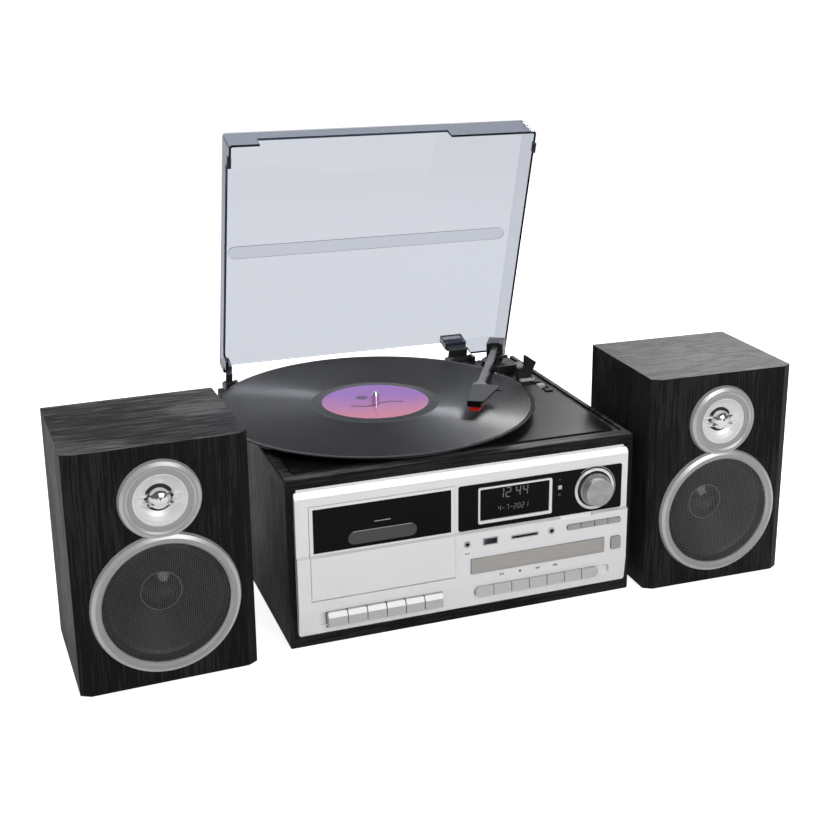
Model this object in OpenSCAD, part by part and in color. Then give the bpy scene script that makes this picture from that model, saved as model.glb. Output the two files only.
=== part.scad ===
// Compact stereo music centre: a wooden main unit with a record deck, a cassette deck,
// a disc drawer and a radio display, and two wooden bookshelf speakers beside it.
// Millimetres, +Z up, +Y to the back. Sizes of the main unit count from the middle of
// its front, and place() moves everything so that the origin is under the middle.

/* [Main cabinet] */
// Width of the wooden cabinet
cab_w = 320; // [316:1:350]
// Depth of the wooden cabinet
cab_d = 266; // [264:1:290]
// Height of the wooden cabinet without its feet
cab_h = 152; // [150:1:170]
// Thickness of the cabinet boards
board_t = 9; // [7:0.5:10]
// Rounding of the long cabinet edges
cab_r = 1.5; // [0.5:0.5:3]
// Height of the rubber feet
foot_h = 2; // [1:0.5:6]
// Diameter of a rubber foot
foot_d = 14; // [10:1:20]
// Distance of a foot's middle from the cabinet's sides
foot_inset = 22; // [14:1:40]

/* [Record deck] */
// Width of the groove that takes the lid's rim
groove_w = 6; // [5:0.5:7]
// Depth of that groove
groove_t = 2; // [1:0.5:3]
// Strip of cabinet left outside the groove at each side
groove_side = 5; // [4:0.5:6]
// Strip of cabinet left in front of the groove
groove_front = 11.5; // [9:0.5:13]
// Middle of the record left of the unit's middle
rec_left = 36; // [30:1:40]
// Middle of the record in front of the cabinet's back
rec_back = 123; // [118:1:126]
// Radius of the long playing record
rec_r = 150.6; // [149:0.1:151]
// Thickness of the record
rec_t = 2; // [1.5:0.1:2.4]
// Radius of the record's label
label_r = 50; // [45:1:52]
// Radius of the platter
platter_r = 98; // [90:1:110]
// Height of the platter's top above the deck
platter_top = 7; // [6:0.5:8]
// Thickness of the slip mat
mat_t = 1; // [0.6:0.1:1.5]
// Radius of the ring under the platter that the belt drives
drive_r = 48; // [40:1:56]
// Radius of the motor's pulley
pulley_r = 4.8; // [4:0.2:6]
// Distance of the motor from the spindle
motor_reach = 74; // [68:1:80]
// Radius of the spindle's free end
spindle_r = 3.5; // [3.4:0.05:3.5]
// Height of the spindle above the record
spindle_up = 9; // [6:0.5:12]

/* [Tone arm] */
// Tone arm pivot right of the unit's middle
piv_x = 129; // [127:0.5:131]
// Tone arm pivot in front of the cabinet's back
piv_back = 23; // [22:0.5:26]
// Height of the arm's own pivot above the deck
arm_up = 19; // [18.5:0.5:20]
// Direction of the arm from the pivot, in degrees
arm_dir = 240.7; // [238:0.1:245]
// Length of the arm bar from its pivot to the head
arm_len = 138; // [134:1:142]
// Width of the arm bar
arm_w = 6; // [4:0.5:7]
// Height of the arm bar
arm_h = 5; // [4:0.5:6]
// Reach of the stylus beyond the arm bar
head_len = 53; // [48:1:56]
// Gap between the lifted stylus and the record
stylus_gap = 1.2; // [0.8:0.1:1.6]

/* [Lid] */
// Strip of cabinet outside the lid at each side
lid_side = 9; // [8:0.5:11]
// Height of the lid
lid_h = 29; // [28.5:0.5:34]
// Thickness of the lid's walls
lid_t = 2.2; // [1.8:0.1:2.6]
// Front of the closed lid behind the cabinet's front
lid_front = 14; // [13:0.5:15]
// Angle that the lid is opened to, in degrees
lid_open = 73.6; // [60:0.2:85]
// Distance of the lid's pivot behind the cabinet
lid_piv_back = 5; // [4.5:0.5:8]
// Height of the closed rim above the deck
lid_rest = 0.5; // [0.3:0.1:1]

/* [Front panel] */
// Strip of cabinet left beside the front panel
fas_side = 6.5; // [5:0.5:8]
// Strip of cabinet left under the front panel
fas_low = 12.5; // [11:0.5:14]
// Strip of cabinet left above the front panel
fas_high = 11; // [10:0.5:14]
// How far the lower half of the panel stands out
fas_out = 7; // [6.5:0.5:9]
// How far the upper half stands out
fas_in = 4.5; // [4:0.5:5]
// Height of the step between the halves above the panel's bottom
fas_step = 72; // [71:0.5:73]
// Corner radius of the panel
fas_r = 2; // [1:0.5:3]

/* [Cassette deck] */
// Cassette door's left edge from the panel's left edge
door_x = 11.5; // [11:0.5:14]
// Cassette door's bottom above the panel's bottom
door_z = 31; // [29:0.5:32]
// Height of the cassette door
door_h = 84.5; // [82:0.5:86]
// Thickness of the cassette door's plate
door_t = 3.6; // [3:0.2:4.2]
// Height of the dark window in the door
pane_h = 39.5; // [36:0.5:42]
// Depth of the cassette space behind the door
well_d = 17; // [15:0.5:20]
// Height of a cassette key
key_h = 12.5; // [10:0.5:13]
// Travel of a cassette key
key_travel = 4; // [2:0.5:5]

/* [Disc and radio side] */
// Width of the display window
disp_w = 157.5; // [154:0.5:158]
// Height of the display window
disp_h = 42; // [40:0.5:43]
// Display window's right edge from the panel's right edge
disp_x = 6; // [5:0.5:8]
// Display window's bottom above the panel's bottom
disp_z = 72.5; // [72:0.5:74]
// Radius of the volume knob's foot
knob_r = 15.2; // [12:0.1:15.4]
// Length of the volume knob
knob_len = 11.5; // [9:0.5:14]
// Width of the disc drawer's front
drawer_w = 129.5; // [128:0.5:131]
// Height of the disc drawer's front
drawer_h = 14; // [13:0.5:15]
// Length of the disc tray
tray_len = 138; // [134:1:142]
// Height of a transport button
tbtn_h = 9.4; // [8:0.2:10]
// Height of a function button
fbtn_h = 4.8; // [4.4:0.1:5.4]
// Travel of the small buttons
btn_travel = 1.2; // [0.6:0.1:1.6]
// Radius of the bore of the phones and line sockets
jack_r = 1.75; // [1.7:0.05:1.8]
// Depth of those bores
jack_len = 14; // [12:0.5:16]

/* [Speakers] */
// Width of a speaker
spk_w = 143; // [140:1:150]
// Depth of a speaker
spk_d = 125; // [115:1:140]
// Height of a speaker without its feet
spk_h = 203; // [200:1:215]
// Chamfer on a speaker's upright front edges
spk_cham = 8; // [4:0.5:9]
// Gap between the left speaker and the main cabinet
spk_gap_left = 30.5; // [24:0.5:60]
// Gap between the right speaker and the main cabinet
spk_gap_right = 12.5; // [10:0.5:60]
// Left speaker's front before the main cabinet's front
spk_fore_left = 15; // [0:1:30]
// Right speaker's front before the main cabinet's front
spk_fore_right = 13; // [0:1:30]
// Turn of the left speaker towards the listener, in degrees
spk_turn_left = 1.7; // [0:0.1:5]
// Turn of the right speaker towards the listener, in degrees
spk_turn_right = 1.4; // [0:0.1:5]
// Height of the tweeter's middle above the speaker's bottom
tweet_z = 158; // [157:0.5:160]
// Outer radius of the tweeter's ring
tweet_r = 33; // [31:0.5:34]
// Height of the woofer's middle above the speaker's bottom
woof_z = 70; // [69:0.5:71]
// Outer radius of the woofer's ring
woof_r = 60; // [58:0.5:61]
// How far the rings stand out
ring_t = 5; // [4:0.5:6]

/* [Hidden] */
$fn = 64;
// Clearances: beside a moving piece, round a shaft, and between fixed pieces
gap = 0.35;
run = 0.05;
fit = 0.1;
// A cut goes this far past the face that it opens
eps = 0.5;

// Main levels and edges
deck_z = foot_h + cab_h;
fx0 = -cab_w / 2 + fas_side;
fx1 = cab_w / 2 - fas_side;
fas_w = fx1 - fx0;
fz0 = foot_h + fas_low;
fz1 = deck_z - fas_high;
fas_h = fz1 - fz0;
fas_back = 12;
floor_z = foot_h + board_t;
face_lo = -fas_out;
face_hi = -fas_in;

// Turntable levels
rec_x = -rec_left;
rec_y = cab_d - rec_back;
piv_y = cab_d - piv_back;
rec_z0 = deck_z + platter_top + mat_t;
rec_z1 = rec_z0 + rec_t;
deck_edge_x = cab_w / 2 - groove_side - groove_w;
deck_edge_y = groove_front + groove_w;
deck_t = 4;
deck_back = cab_d - 3;
deck_ledge = 4;
well_floor = 1;
plat_under = 1;
plat_t = 2;
rim_t = 3;
ring_t_drive = 3;
belt_t = 1;
belt_h = 2.2;
belt_up = 1.65;
motor_dir = 20;
motor_x = rec_x + motor_reach * cos(motor_dir);
motor_y = rec_y + motor_reach * sin(motor_dir);
motor_r = 16;
motor_h = 24;
hub_r = 9;
hub_down = 12;

// Lid in its closed place
lid_w = cab_w - 2 * lid_side;
lid_d = cab_d - 1 - lid_front;
lid_z = deck_z + lid_rest;
lid_px = 0;
lid_py = cab_d + lid_piv_back;
lid_pz = deck_z + lid_rest;
// Reliefs in the rim let the record stand out under the closed lid
relief_h = rec_z1 - lid_z + 3;
relief_over = 9;
chord_front = sqrt(pow(rec_r, 2) - pow(rec_y - lid_front, 2));
chord_side = sqrt(pow(rec_r, 2) - pow(lid_w / 2 + rec_x, 2));
chord_back = sqrt(pow(rec_r, 2) - pow(lid_front + lid_d - rec_y, 2));
// Hinges: middle and width of the left and the right one
hinge_x = [-lid_w / 2 + 4, lid_w / 2 - 54];
hinge_w = [13, 27];
hinge_h = 9;
hinge_d = 11;
hinge_ear = 3;
hinge_pin_r = 1.5;
knuckle_r = 4;
blade_t = 2.6;
blade_up = 20;
// Blades keep clear of the lid's left skirt
blade_x0 = [for (i = [0, 1]) max(hinge_x[i] - hinge_w[i] / 2 + hinge_ear + 0.5,
    -lid_w / 2 + lid_t + 0.4)];
blade_x1 = [for (i = [0, 1]) hinge_x[i] + hinge_w[i] / 2 - hinge_ear - 0.5];

// Tone arm levels, in the arm's own frame
yoke_w = 17;
yoke_l = 27;
yoke_top = 26;
yoke_low = 9;
cheek_t = 3.4;
post_r = 4;
arm_pin_r = 1.2;
shell_top = arm_up + 3;
shell_t = 2;
arm_z = deck_z + arm_up;
// Parked, the bar lies against the horn of its rest and the headshell clears the lid's skirt
park_dir = arm_dir + 28;
park_reach = 64;
parked_x = piv_x + park_reach * cos(park_dir) + 1.5;
parked_y = piv_y + park_reach * sin(park_dir);
rest_top = arm_up - arm_h / 2 - 1.6;
clip_x = parked_x + 9;
clip_y = parked_y - 8;
cue_reach = 22;

// Places on the front panel
door_post = 3.5;
drive_post = 14.5;
door_px = fx0 + door_x;
door_pz = fz0 + door_z;
disp_px = fx1 - disp_x - disp_w;
drawer_px = disp_px + disp_w - drawer_w - 17;
// The cassette door ends before the window, and before the disc drive
door_w = min(disp_px - door_post, drawer_px - drive_post) - door_px;
disp_pz = fz0 + disp_z;
door_face = face_lo - 0.5;
pane_face = face_hi - 0.5;
key_px = door_px + 12.5;
key_pz = fz0 + 7.5;
key_count = 6;
key_w = (door_w - 25) / key_count;
key_gap = 0.8;
key_ledge = 3;
drawer_pz = fz0 + 32;
tbtn_px = disp_px + 14.8;
tbtn_pz = fz0 + 9.2;
tbtn_count = 7;
tbtn_w = (disp_w - 37.1) / tbtn_count;
fbtn_px = disp_px + 103;
fbtn_pz = fz0 + 59;
fbtn_count = 4;
fbtn_w = (disp_w - 103.9) / fbtn_count;
knob_x = disp_px + disp_w - 27.5;
knob_z = disp_pz + 21.8;
phones_x = disp_px + 7.5;
aux_x = disp_px + 88;
socket_z = fz0 + 60.6;
usb_x = disp_px + 29.2;
usb_in = [12.4, 5.2];
usb_wall = 0.9;
card_x = disp_px + 62;
card_in = [24.4, 2];
socket_d = 14;
eject_px = drawer_px + drawer_w + 7;
eject_w = 9.4;
eject_h = 12;
eject_pz = drawer_pz + 1.4;
pane_out = 0.6;
pane_t = 3;
bezel = [70, 33.5];
bezel_x = disp_px + 53;
bezel_z = disp_pz + 21.6;

// Speaker places: the middle of each front's bottom edge
spk_lx = -cab_w / 2 - spk_gap_left - spk_w / 2;
spk_rx = cab_w / 2 + spk_gap_right + spk_w / 2;
spk_wall = 9;
ring_w_woof = 9;
ring_w_tweet = 4;
horn_r = 21.7;
mesh_r = woof_r - ring_w_woof;

// Overall box, for the origin
min_x = spk_lx - spk_w / 2 * cos(spk_turn_left) - spk_d * sin(spk_turn_left);
max_x = spk_rx + spk_w / 2 * cos(spk_turn_right) + spk_d * sin(spk_turn_right);
spk_front_left = spk_fore_left + ring_t * cos(spk_turn_left);
woof_side = (woof_r - 4) * sin(spk_turn_left);
min_y = -spk_fore_left - max(woof_side + ring_t * cos(spk_turn_left), 0);
lid_top_s = lid_py - lid_front - lid_d;
max_y = lid_py - lid_top_s * cos(lid_open) + lid_h * sin(lid_open);
mid_x = (min_x + max_x) / 2;
mid_y = (min_y + max_y) / 2;

// Everything is drawn in the main unit's frame and moved once
module place() {
    translate([-mid_x, -mid_y, 0]) children();
}

// Flat rectangle with round corners, from its lower left corner
module round_rect(w, h, r) {
    translate([r, 0]) square([w - 2 * r, h]);
    translate([0, r]) square([w, h - 2 * r]);
    for (x = [r, w - r], y = [r, h - r]) translate([x, y]) circle(r);
}

// Block whose outline in the front view has round corners
module front_block(x, y, z, w, d, h, r) {
    translate([x, y + d, z]) rotate([90, 0, 0]) linear_extrude(d) round_rect(w, h, r);
}

// Block whose outline in the top view has round corners
module top_block(x, y, z, w, d, h, r) {
    translate([x, y, z]) linear_extrude(h) round_rect(w, d, r);
}

module block(x, y, z, w, d, h) {
    translate([x, y, z]) cube([w, d, h]);
}

// Round bar along Y
module bar_y(x, y, z, r, len) {
    translate([x, y + len, z]) rotate([90, 0, 0]) cylinder(r = r, h = len);
}

// Round bar along X
module bar_x(x, y, z, r, len) {
    translate([x, y, z]) rotate([0, 90, 0]) cylinder(r = r, h = len);
}

module at_deck() {
    translate([0, 0, deck_z]) children();
}

// Four boards in one tube, open at the front and the back
module cabinet() {
    color("#1d1c1b") difference() {
        front_block(-cab_w / 2, 0, foot_h, cab_w, cab_d, cab_h, cab_r);
        block(-cab_w / 2 + board_t, -eps, floor_z, cab_w - 2 * board_t, cab_d + 2 * eps,
            cab_h - 2 * board_t);
        // Rebate for the deck plate and the groove round it
        top_block(-cab_w / 2 + groove_side, groove_front, deck_z - groove_t,
            cab_w - 2 * groove_side, cab_d, groove_t + eps, fas_r);
        // Opening under the deck plate
        block(-deck_edge_x + deck_ledge, deck_edge_y + board_t, deck_z - board_t - eps,
            2 * (deck_edge_x - deck_ledge), deck_back - deck_edge_y - 2 * board_t, board_t + eps);
    }
}

rear_t = 3;
term_w = 42;
term_h = 22;
module rear_panel() {
    inner_w = cab_w - 2 * board_t - 2 * fit;
    inner_h = cab_h - 2 * board_t - 2 * fit;
    color("#202022") difference() {
        union() {
            block(-inner_w / 2, cab_d - 2 - rear_t, floor_z + fit, inner_w, rear_t, inner_h);
            // Speaker terminal block and line output plate stand on the panel's face
            block(inner_w / 2 - 24 - term_w, cab_d - 2, floor_z + 24, term_w, 1.6, term_h);
            block(inner_w / 2 - 104, cab_d - 2, floor_z + 24, 24, 1.6, term_h);
            // Strain gland housing of the aerial lead's exit
            bar_y(-inner_w / 2 + 40, cab_d - 2, floor_z + 35, 5, 1.6);
        }
        // Push terminal wells
        for (i = [0:1], k = [0:1])
            block(inner_w / 2 - 24 - term_w + 6 + i * 18, cab_d - 2 - rear_t + 1,
                floor_z + 27 + k * 9, 12, 6, 6);
        // Line output sockets
        for (k = [0:1])
            bar_y(inner_w / 2 - 92, cab_d - 2 - rear_t - eps, floor_z + 30 + k * 11, 3.2, 8);
        // Cooling slots
        for (i = [0:9])
            block(-60 + i * 7, cab_d - 8, floor_z + 88, 2.5, 8, 24);
        // Mains inlet, a figure of eight
        block(-inner_w / 2 + 82, cab_d - 2 - rear_t - eps, floor_z + 26, 8.6, 5, 8.6);
        for (s = [0, 1])
            bar_y(-inner_w / 2 + 82 + s * 8.6, cab_d - 2 - rear_t - eps, floor_z + 30.3, 4.3, 5);
    }
    // Ferrules of the line output
    color("gold") for (k = [0:1]) difference() {
        bar_y(inner_w / 2 - 92, cab_d - 2 - rear_t, floor_z + 30 + k * 11, 3.1, 4);
        bar_y(inner_w / 2 - 92, cab_d - 2 - rear_t - eps, floor_z + 30 + k * 11, 1.7, 5);
    }
}

module rubber_foot() {
    cylinder(r1 = foot_d / 2 - 1, r2 = foot_d / 2, h = foot_h);
}

module spk_place(left) {
    translate([left ? spk_lx : spk_rx, left ? -spk_fore_left : -spk_fore_right, 0])
        rotate([0, 0, left ? spk_turn_left : -spk_turn_right]) children();
}

module rubber_feet() {
    color("#141414") {
        for (x = [-1, 1], y = [foot_inset, cab_d - foot_inset])
            translate([x * (cab_w / 2 - foot_inset), y, 0]) rubber_foot();
        for (left = [true, false]) spk_place(left)
            for (x = [-1, 1], y = [foot_inset, spk_d - foot_inset])
                translate([x * (spk_w / 2 - foot_inset), y, 0]) rubber_foot();
    }
}

switch_x = cab_w / 2 - 17.7;
switch_y = piv_y - 89;
switch_w = 9;
switch_len = 36;
module deck_plate() {
    color("#3a3a3c") difference() {
        union() {
            top_block(-deck_edge_x, deck_edge_y, deck_z - groove_t, 2 * deck_edge_x,
                deck_back - deck_edge_y, groove_t, fas_r);
            // Moulded underside hangs in the cabinet's opening
            block(-deck_edge_x + deck_ledge + fit, deck_edge_y + board_t + fit, deck_z - deck_t - 3,
                2 * (deck_edge_x - deck_ledge - fit),
                deck_back - deck_edge_y - 2 * board_t - 2 * fit, deck_t + 3 - groove_t);
            translate([rec_x, rec_y, deck_z - hub_down]) cylinder(r = hub_r, h = hub_down + 0.1);
        }
        // Shallow round recess under the platter, round the bearing
        translate([rec_x, rec_y, deck_z - well_floor]) difference() {
            cylinder(r = platter_r + 2, h = 5);
            translate([0, 0, -eps]) cylinder(r = hub_r, h = 1 + eps + 0.1);
        }
        // Spindle seat
        translate([rec_x, rec_y, deck_z - hub_down - eps])
            cylinder(r = spindle_r, h = hub_down + eps + 1);
        // Motor shaft passage
        translate([motor_x, motor_y, deck_z - 20]) cylinder(r = pulley_r + 1.5, h = 30);
        // Slot with the two slide switches
        top_block(switch_x - switch_w / 2, switch_y - switch_len / 2, deck_z - 2.4, switch_w,
            switch_len, 5, 3);
        block(switch_x - 1.2, switch_y - switch_len / 2 + 2, deck_z - 12, 2.4, 13, 20);
        block(switch_x - 1.2, switch_y + switch_len / 2 - 16, deck_z - 12, 2.4, 13, 20);
        // Seats of the hinges
        for (i = [0, 1]) block(hinge_x[i] - hinge_w[i] / 2 - fit, cab_d - hinge_d - fit,
            deck_z - groove_t - eps, hinge_w[i] + 2 * fit, hinge_d + 2, groove_t + 2 * eps);
        // Stem of the cue lift
        cue_stem_place() cylinder(r = 2.2 + run, h = 30, center = true);
    }
}

// Cross-section of the front panel, from its foot to its bright top edge
module fascia_profile() {
    polygon([[0, 0], [-fas_in, 0], [face_lo, 22.5], [face_lo, fas_step - 1.5],
        [face_hi, fas_step], [face_hi, fas_h - 5], [-1.6, fas_h], [0, fas_h]]);
}

module fascia_openings() {
    // Cassette door
    block(door_px - gap, -20, door_pz - gap, door_w + 2 * gap, 40, door_h + 2 * gap);
    bar_x(door_px - 3 - gap, door_py, door_hz, 1.2 + run, door_w + 6 + 2 * gap);
    // Recess of the cassette keys: a round pocket at the left and a ledge under the row
    front_block(key_px - 8.5, -20, key_pz, 20, 16.6, key_h, key_h / 2 - 0.1);
    block(key_px - gap, -20, key_pz - key_ledge, key_count * key_w + 2 * gap, 16.6,
        key_h + key_ledge);
    block(key_px - gap, -20, key_pz - gap, key_count * key_w + 2 * gap, 40, key_h + 2 * gap);
    // Display window pocket and the opening behind it
    front_block(disp_px, -20, disp_pz, disp_w,
        20 + face_hi - pane_out + pane_t, disp_h, fas_r);
    block(disp_px + 6, -20, disp_pz + 6, 92, 40, disp_h - 12);
    bar_y(knob_x, -20, knob_z, 4.2, 40);
    // Sockets
    for (x = [phones_x, aux_x]) bar_y(x, -20, socket_z, 3.2 + fit, 40);
    block(usb_x - usb_in[0] / 2 - usb_wall - fit, -20, socket_z - usb_in[1] / 2 - usb_wall - fit,
        usb_in[0] + 2 * (usb_wall + fit), 40, usb_in[1] + 2 * (usb_wall + fit));
    block(card_x - card_in[0] / 2 - usb_wall - fit, -20,
        socket_z - card_in[1] / 2 - usb_wall - fit,
        card_in[0] + 2 * (usb_wall + fit), 40, card_in[1] + 2 * (usb_wall + fit));
    // Finger ledge over the function buttons
    translate([disp_px + 97, face_lo, fz0 + fas_step - 2.6]) rotate([-20, 0, 0])
        block(0, -5, 0, 31.5, 7.2, 6);
    // Button rows
    front_block(fbtn_px - gap, -20, fbtn_pz - gap, fbtn_count * fbtn_w + 2 * gap, 40,
        fbtn_h + 2 * gap, fbtn_h / 2);
    // Round pocket at the right of the long row
    front_block(tbtn_px + tbtn_count * tbtn_w - 8, -20, tbtn_pz, 20, 16.6, tbtn_h,
        tbtn_h / 2 - 0.1);
    front_block(tbtn_px - gap, -20, tbtn_pz - gap, tbtn_count * tbtn_w + 2 * gap, 40,
        tbtn_h + 2 * gap, tbtn_h / 2);
    // Disc drawer and its eject button
    block(drawer_px - gap, -20, drawer_pz - gap, drawer_w + 2 * gap, 40, drawer_h + 2 * gap);
    front_block(eject_px - gap, -20, eject_pz - gap, eject_w + 2 * gap, 40,
        eject_h + 2 * gap, 2);
}

module fascia() {
    color("#c9cacc") {
        difference() {
            union() {
                intersection() {
                    translate([fx0, 0, fz0]) rotate([90, 0, 90]) linear_extrude(fas_w)
                        fascia_profile();
                    front_block(fx0, -20, fz0, fas_w, 40, fas_h, fas_r);
                }
                // Rim that enters the cabinet
                difference() {
                    block(-cab_w / 2 + board_t + fit, 0, floor_z + 3,
                        cab_w - 2 * board_t - 2 * fit, fas_back,
                        cab_h - 2 * board_t - 3 - fit);
                    block(-cab_w / 2 + board_t + 2, 0.1, floor_z + 5,
                        cab_w - 2 * board_t - 4, fas_back + eps, cab_h - 2 * board_t - 7);
                }
            }
            fascia_openings();
        }
        // Silver surround of the readout, bonded to the window
        difference() {
            front_block(bezel_x - bezel[0] / 2, face_hi - pane_out - 1.2,
                bezel_z - bezel[1] / 2, bezel[0], 1.2, bezel[1], 1.5);
            front_block(bezel_x - bezel[0] / 2 + 1.6, face_hi - pane_out - 3,
                bezel_z - bezel[1] / 2 + 2.8, bezel[0] - 4.2, 5, bezel[1] - 4.4, 1);
        }
        // Silver ring round the volume knob
        difference() {
            bar_y(knob_x, face_hi - pane_out - 1, knob_z, knob_r + 4.2, 1);
            bar_y(knob_x, face_hi - pane_out - 2, knob_z, knob_r + 1.6, 4);
        }
    }
}

module display_window() {
    color("#0b0b0d") difference() {
        front_block(disp_px + fit, face_hi - pane_out, disp_pz + fit, disp_w - 2 * fit, pane_t,
            disp_h - 2 * fit, fas_r);
        bar_y(knob_x, -20, knob_z, 4.2, 40);
    }
}

// Circuit boards, the readout, the knob's encoder and the mains transformer
main_x = -cab_w / 2 + 30;
main_w = 116;
main_d = 120;
module electronics() {
    color("#23482f") {
        // Main board on its pillars
        block(main_x, 70, floor_z + 10, main_w, main_d, 1.6);
        for (x = [main_x + 6, main_x + main_w - 6], y = [76, 64 + main_d]) translate([x, y, floor_z])
            cylinder(r = 3, h = 10);
    }
    color("#4c4c4e") for (x = [20:30:80]) block(main_x + x, 96, floor_z + 11.6, 18, 26, 9);
    color("#101114") block(disp_px + 8, face_hi - pane_out + pane_t, disp_pz + 8, 88,
        6, disp_h - 16);
    board_front = face_hi - pane_out + pane_t + 6;
    color("#23482f") difference() {
        block(disp_px + 4, board_front, disp_pz + 1, disp_w - 8, 1.6, disp_h - 6);
        bar_y(knob_x, -1, knob_z, 3 + run, 20);
    }
    // Encoder with the bush that the knob's shaft turns in
    color("#8f9194") difference() {
        union() {
            bar_y(knob_x, 1, knob_z, 5, board_front - 1);
            block(knob_x - 7, board_front + 1.6, knob_z - 7, 14, 9, 14);
        }
        bar_y(knob_x, 0, knob_z, 3 + run, 13);
    }
    color("#6b6c6e") {
        block(cab_w / 2 - 96, cab_d - 62, floor_z, 52, 42, 38);
        block(cab_w / 2 - 88, cab_d - 68, floor_z + 6, 36, 54, 26);
    }
}

module volume_knob() {
    face = face_hi - pane_out - gap;
    color("#c4c5c8") {
        difference() {
            union() {
                bar_y(knob_x, face - 4, knob_z, knob_r, 4);
                translate([knob_x, face - 4, knob_z]) rotate([90, 0, 0])
                    cylinder(r = knob_r - 2, h = knob_len - 4.7);
                translate([knob_x, face - knob_len + 0.7, knob_z]) rotate([90, 0, 0])
                    cylinder(r1 = knob_r - 2, r2 = knob_r - 2.7, h = 0.7);
            }
            // Fluted grip
            for (a = [0:10:350]) translate([knob_x, 0, knob_z]) rotate([0, a, 0])
                translate([knob_r, 0, 0]) bar_y(0, face - 4 - eps, 0, 0.5, 4 + 2 * eps);
        }
        bar_y(knob_x, face, knob_z, 3, 16);
    }
}

// The door turns on the round lower end of its plate, and has the panel's step
door_py = door_face + door_t / 2;
door_hz = door_pz + door_t / 2;
door_back = door_face + door_t;
door_step = fz0 + fas_step;
pane_z = door_pz + door_h - pane_h - 2.6;
slot_w = 61.5;
slot_h = 12.4;
module view_slot() {
    front_block(door_px + door_w / 2 - slot_w / 2 - 0.5, door_face - 2 * eps, pane_z + 2.6, slot_w,
        door_t + 8, slot_h, slot_h / 2 - 0.1);
}

module door_profile() {
    polygon([[door_back, door_hz], [door_face, door_hz], [door_face, door_step - 1.5],
        [pane_face, door_step], [pane_face, door_pz + door_h], [door_back + 1,
        door_pz + door_h], [door_back + 1, door_step], [door_back, door_step - 2]]);
}

module cassette_door() {
    color("#c9cacc") difference() {
        union() {
            translate([door_px, 0, 0]) rotate([90, 0, 90]) linear_extrude(door_w)
                door_profile();
            bar_x(door_px, door_py, door_hz, door_t / 2, door_w);
            // Holder that the cassette slides into from above
            for (x = [door_px + 10, door_px + door_w - 12.5])
                block(x, door_back, door_pz + 8, 2.5, well_d - 5, 46);
            block(door_px + 10, door_back, door_pz + 6, door_w - 20, well_d - 5, 2.2);
        }
        block(door_px + 3.1, door_face - eps, pane_z, door_w - 6.2,
            pane_face - door_face + 1.6 + eps, pane_h);
        view_slot();
    }
    // Trunnions of the door
    color("#8f9194") for (x = [door_px - 3, door_px + door_w])
        bar_x(x, door_py, door_hz, 1.2, 3);
}

module cassette_pane() {
    color("#0b0b0d") difference() {
        block(door_px + 3.1 + fit, pane_face + 0.3, pane_z + fit, door_w - 6.2 - 2 * fit, 1.3,
            pane_h - 2 * fit);
        view_slot();
    }
}

mech_y = 0.1;
spool_y = mech_y + well_d - gap;
mech_d = 46;
spool_z = door_pz + 40;
spool_gap = 42.5;
module cassette_mechanism() {
    cx = door_px + door_w / 2;
    x0 = door_px - 3;
    w = door_w + 6;
    color("#2c2c2e") {
        difference() {
            block(x0, mech_y, door_pz - 3, w, mech_d, door_h + 6);
            block(x0 + 3 - gap, mech_y - eps, door_pz - gap, w - 6 + 2 * gap, well_d + eps,
                door_h + 2 * gap);
            // Spool shaft passages
            for (s = [-1, 1]) bar_y(cx + s * spool_gap / 2, 0, spool_z, 2 + run, mech_d - 8);
        }
    }
    // Record and play head between its guides
    color("#b9b9bb") {
        block(cx - 7, well_d, door_pz + 10, 14, 1, 12);
        front_block(cx - 6, well_d - 5, door_pz + 11, 12, 6, 9, 2);
        for (s = [-1, 1]) bar_y(cx + s * 12, well_d - 8, door_pz + 21, 1, 8);
    }
}

module spool(s) {
    cx = door_px + door_w / 2 + s * spool_gap / 2;
    color("#e6e6e2") {
        bar_y(cx, spool_y - 10, spool_z, 2, 10 + 16);
        bar_y(cx, spool_y - 6, spool_z, 3.6, 6);
        for (a = [0:60:300]) translate([cx, 0, spool_z]) rotate([0, a, 0])
            block(0, spool_y - 9, -0.6, 4.8, 5, 1.2);
    }
}

module cassette_key(i) {
    x = key_px + (i - 1) * key_w + key_gap / 2;
    w = key_w - key_gap;
    color("#b5b4b6") difference() {
        front_block(x, face_lo - 4.5, key_pz, w, 17, key_h, 0.8);
        // The upper part of the cap slopes back from a crease
        translate([x - eps, face_lo - 4.5, key_pz + key_h * 0.66]) rotate([-28, 0, 0])
            translate([0, -8, 0]) cube([w + 2 * eps, 8, 12]);
    }
}

module row_button(i, px, pz, w, h, count, y0, len) {
    intersection() {
        front_block(px, y0, pz, count * w, len, h, h / 2 - 0.1);
        block(px + (i - 1) * w + gap, y0 - 1, pz - 1, w - 2 * gap, len + 2, h + 2);
    }
}

module function_button(i) {
    color("#a9a9ac") row_button(i, fbtn_px, fbtn_pz, fbtn_w, fbtn_h, fbtn_count,
        face_lo - 1.6, 12);
}

module transport_button(i) {
    color("#d0d0d2") row_button(i, tbtn_px, tbtn_pz, tbtn_w, tbtn_h, tbtn_count,
        face_lo - 2, 13);
}

module eject_button() {
    color("#8d8c8e") front_block(eject_px, face_lo - 1.8, eject_pz, eject_w, 13, eject_h, 1.6);
}

tray_h = 7;
tray_w = drawer_w - 8;
tray_z = drawer_pz + 3;
front_t = 5;
disc_r = 60.6;
module drawer_front() {
    color("#8f8a86") difference() {
        front_block(drawer_px, face_lo - 1.4, drawer_pz, drawer_w, front_t, drawer_h, 1);
        // Sunk field inside a narrow edge
        front_block(drawer_px + 1.4, face_lo - 2.4, drawer_pz + 1.4, drawer_w - 2.8, 1.4,
            drawer_h - 2.8, 0.6);
    }
}

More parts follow.
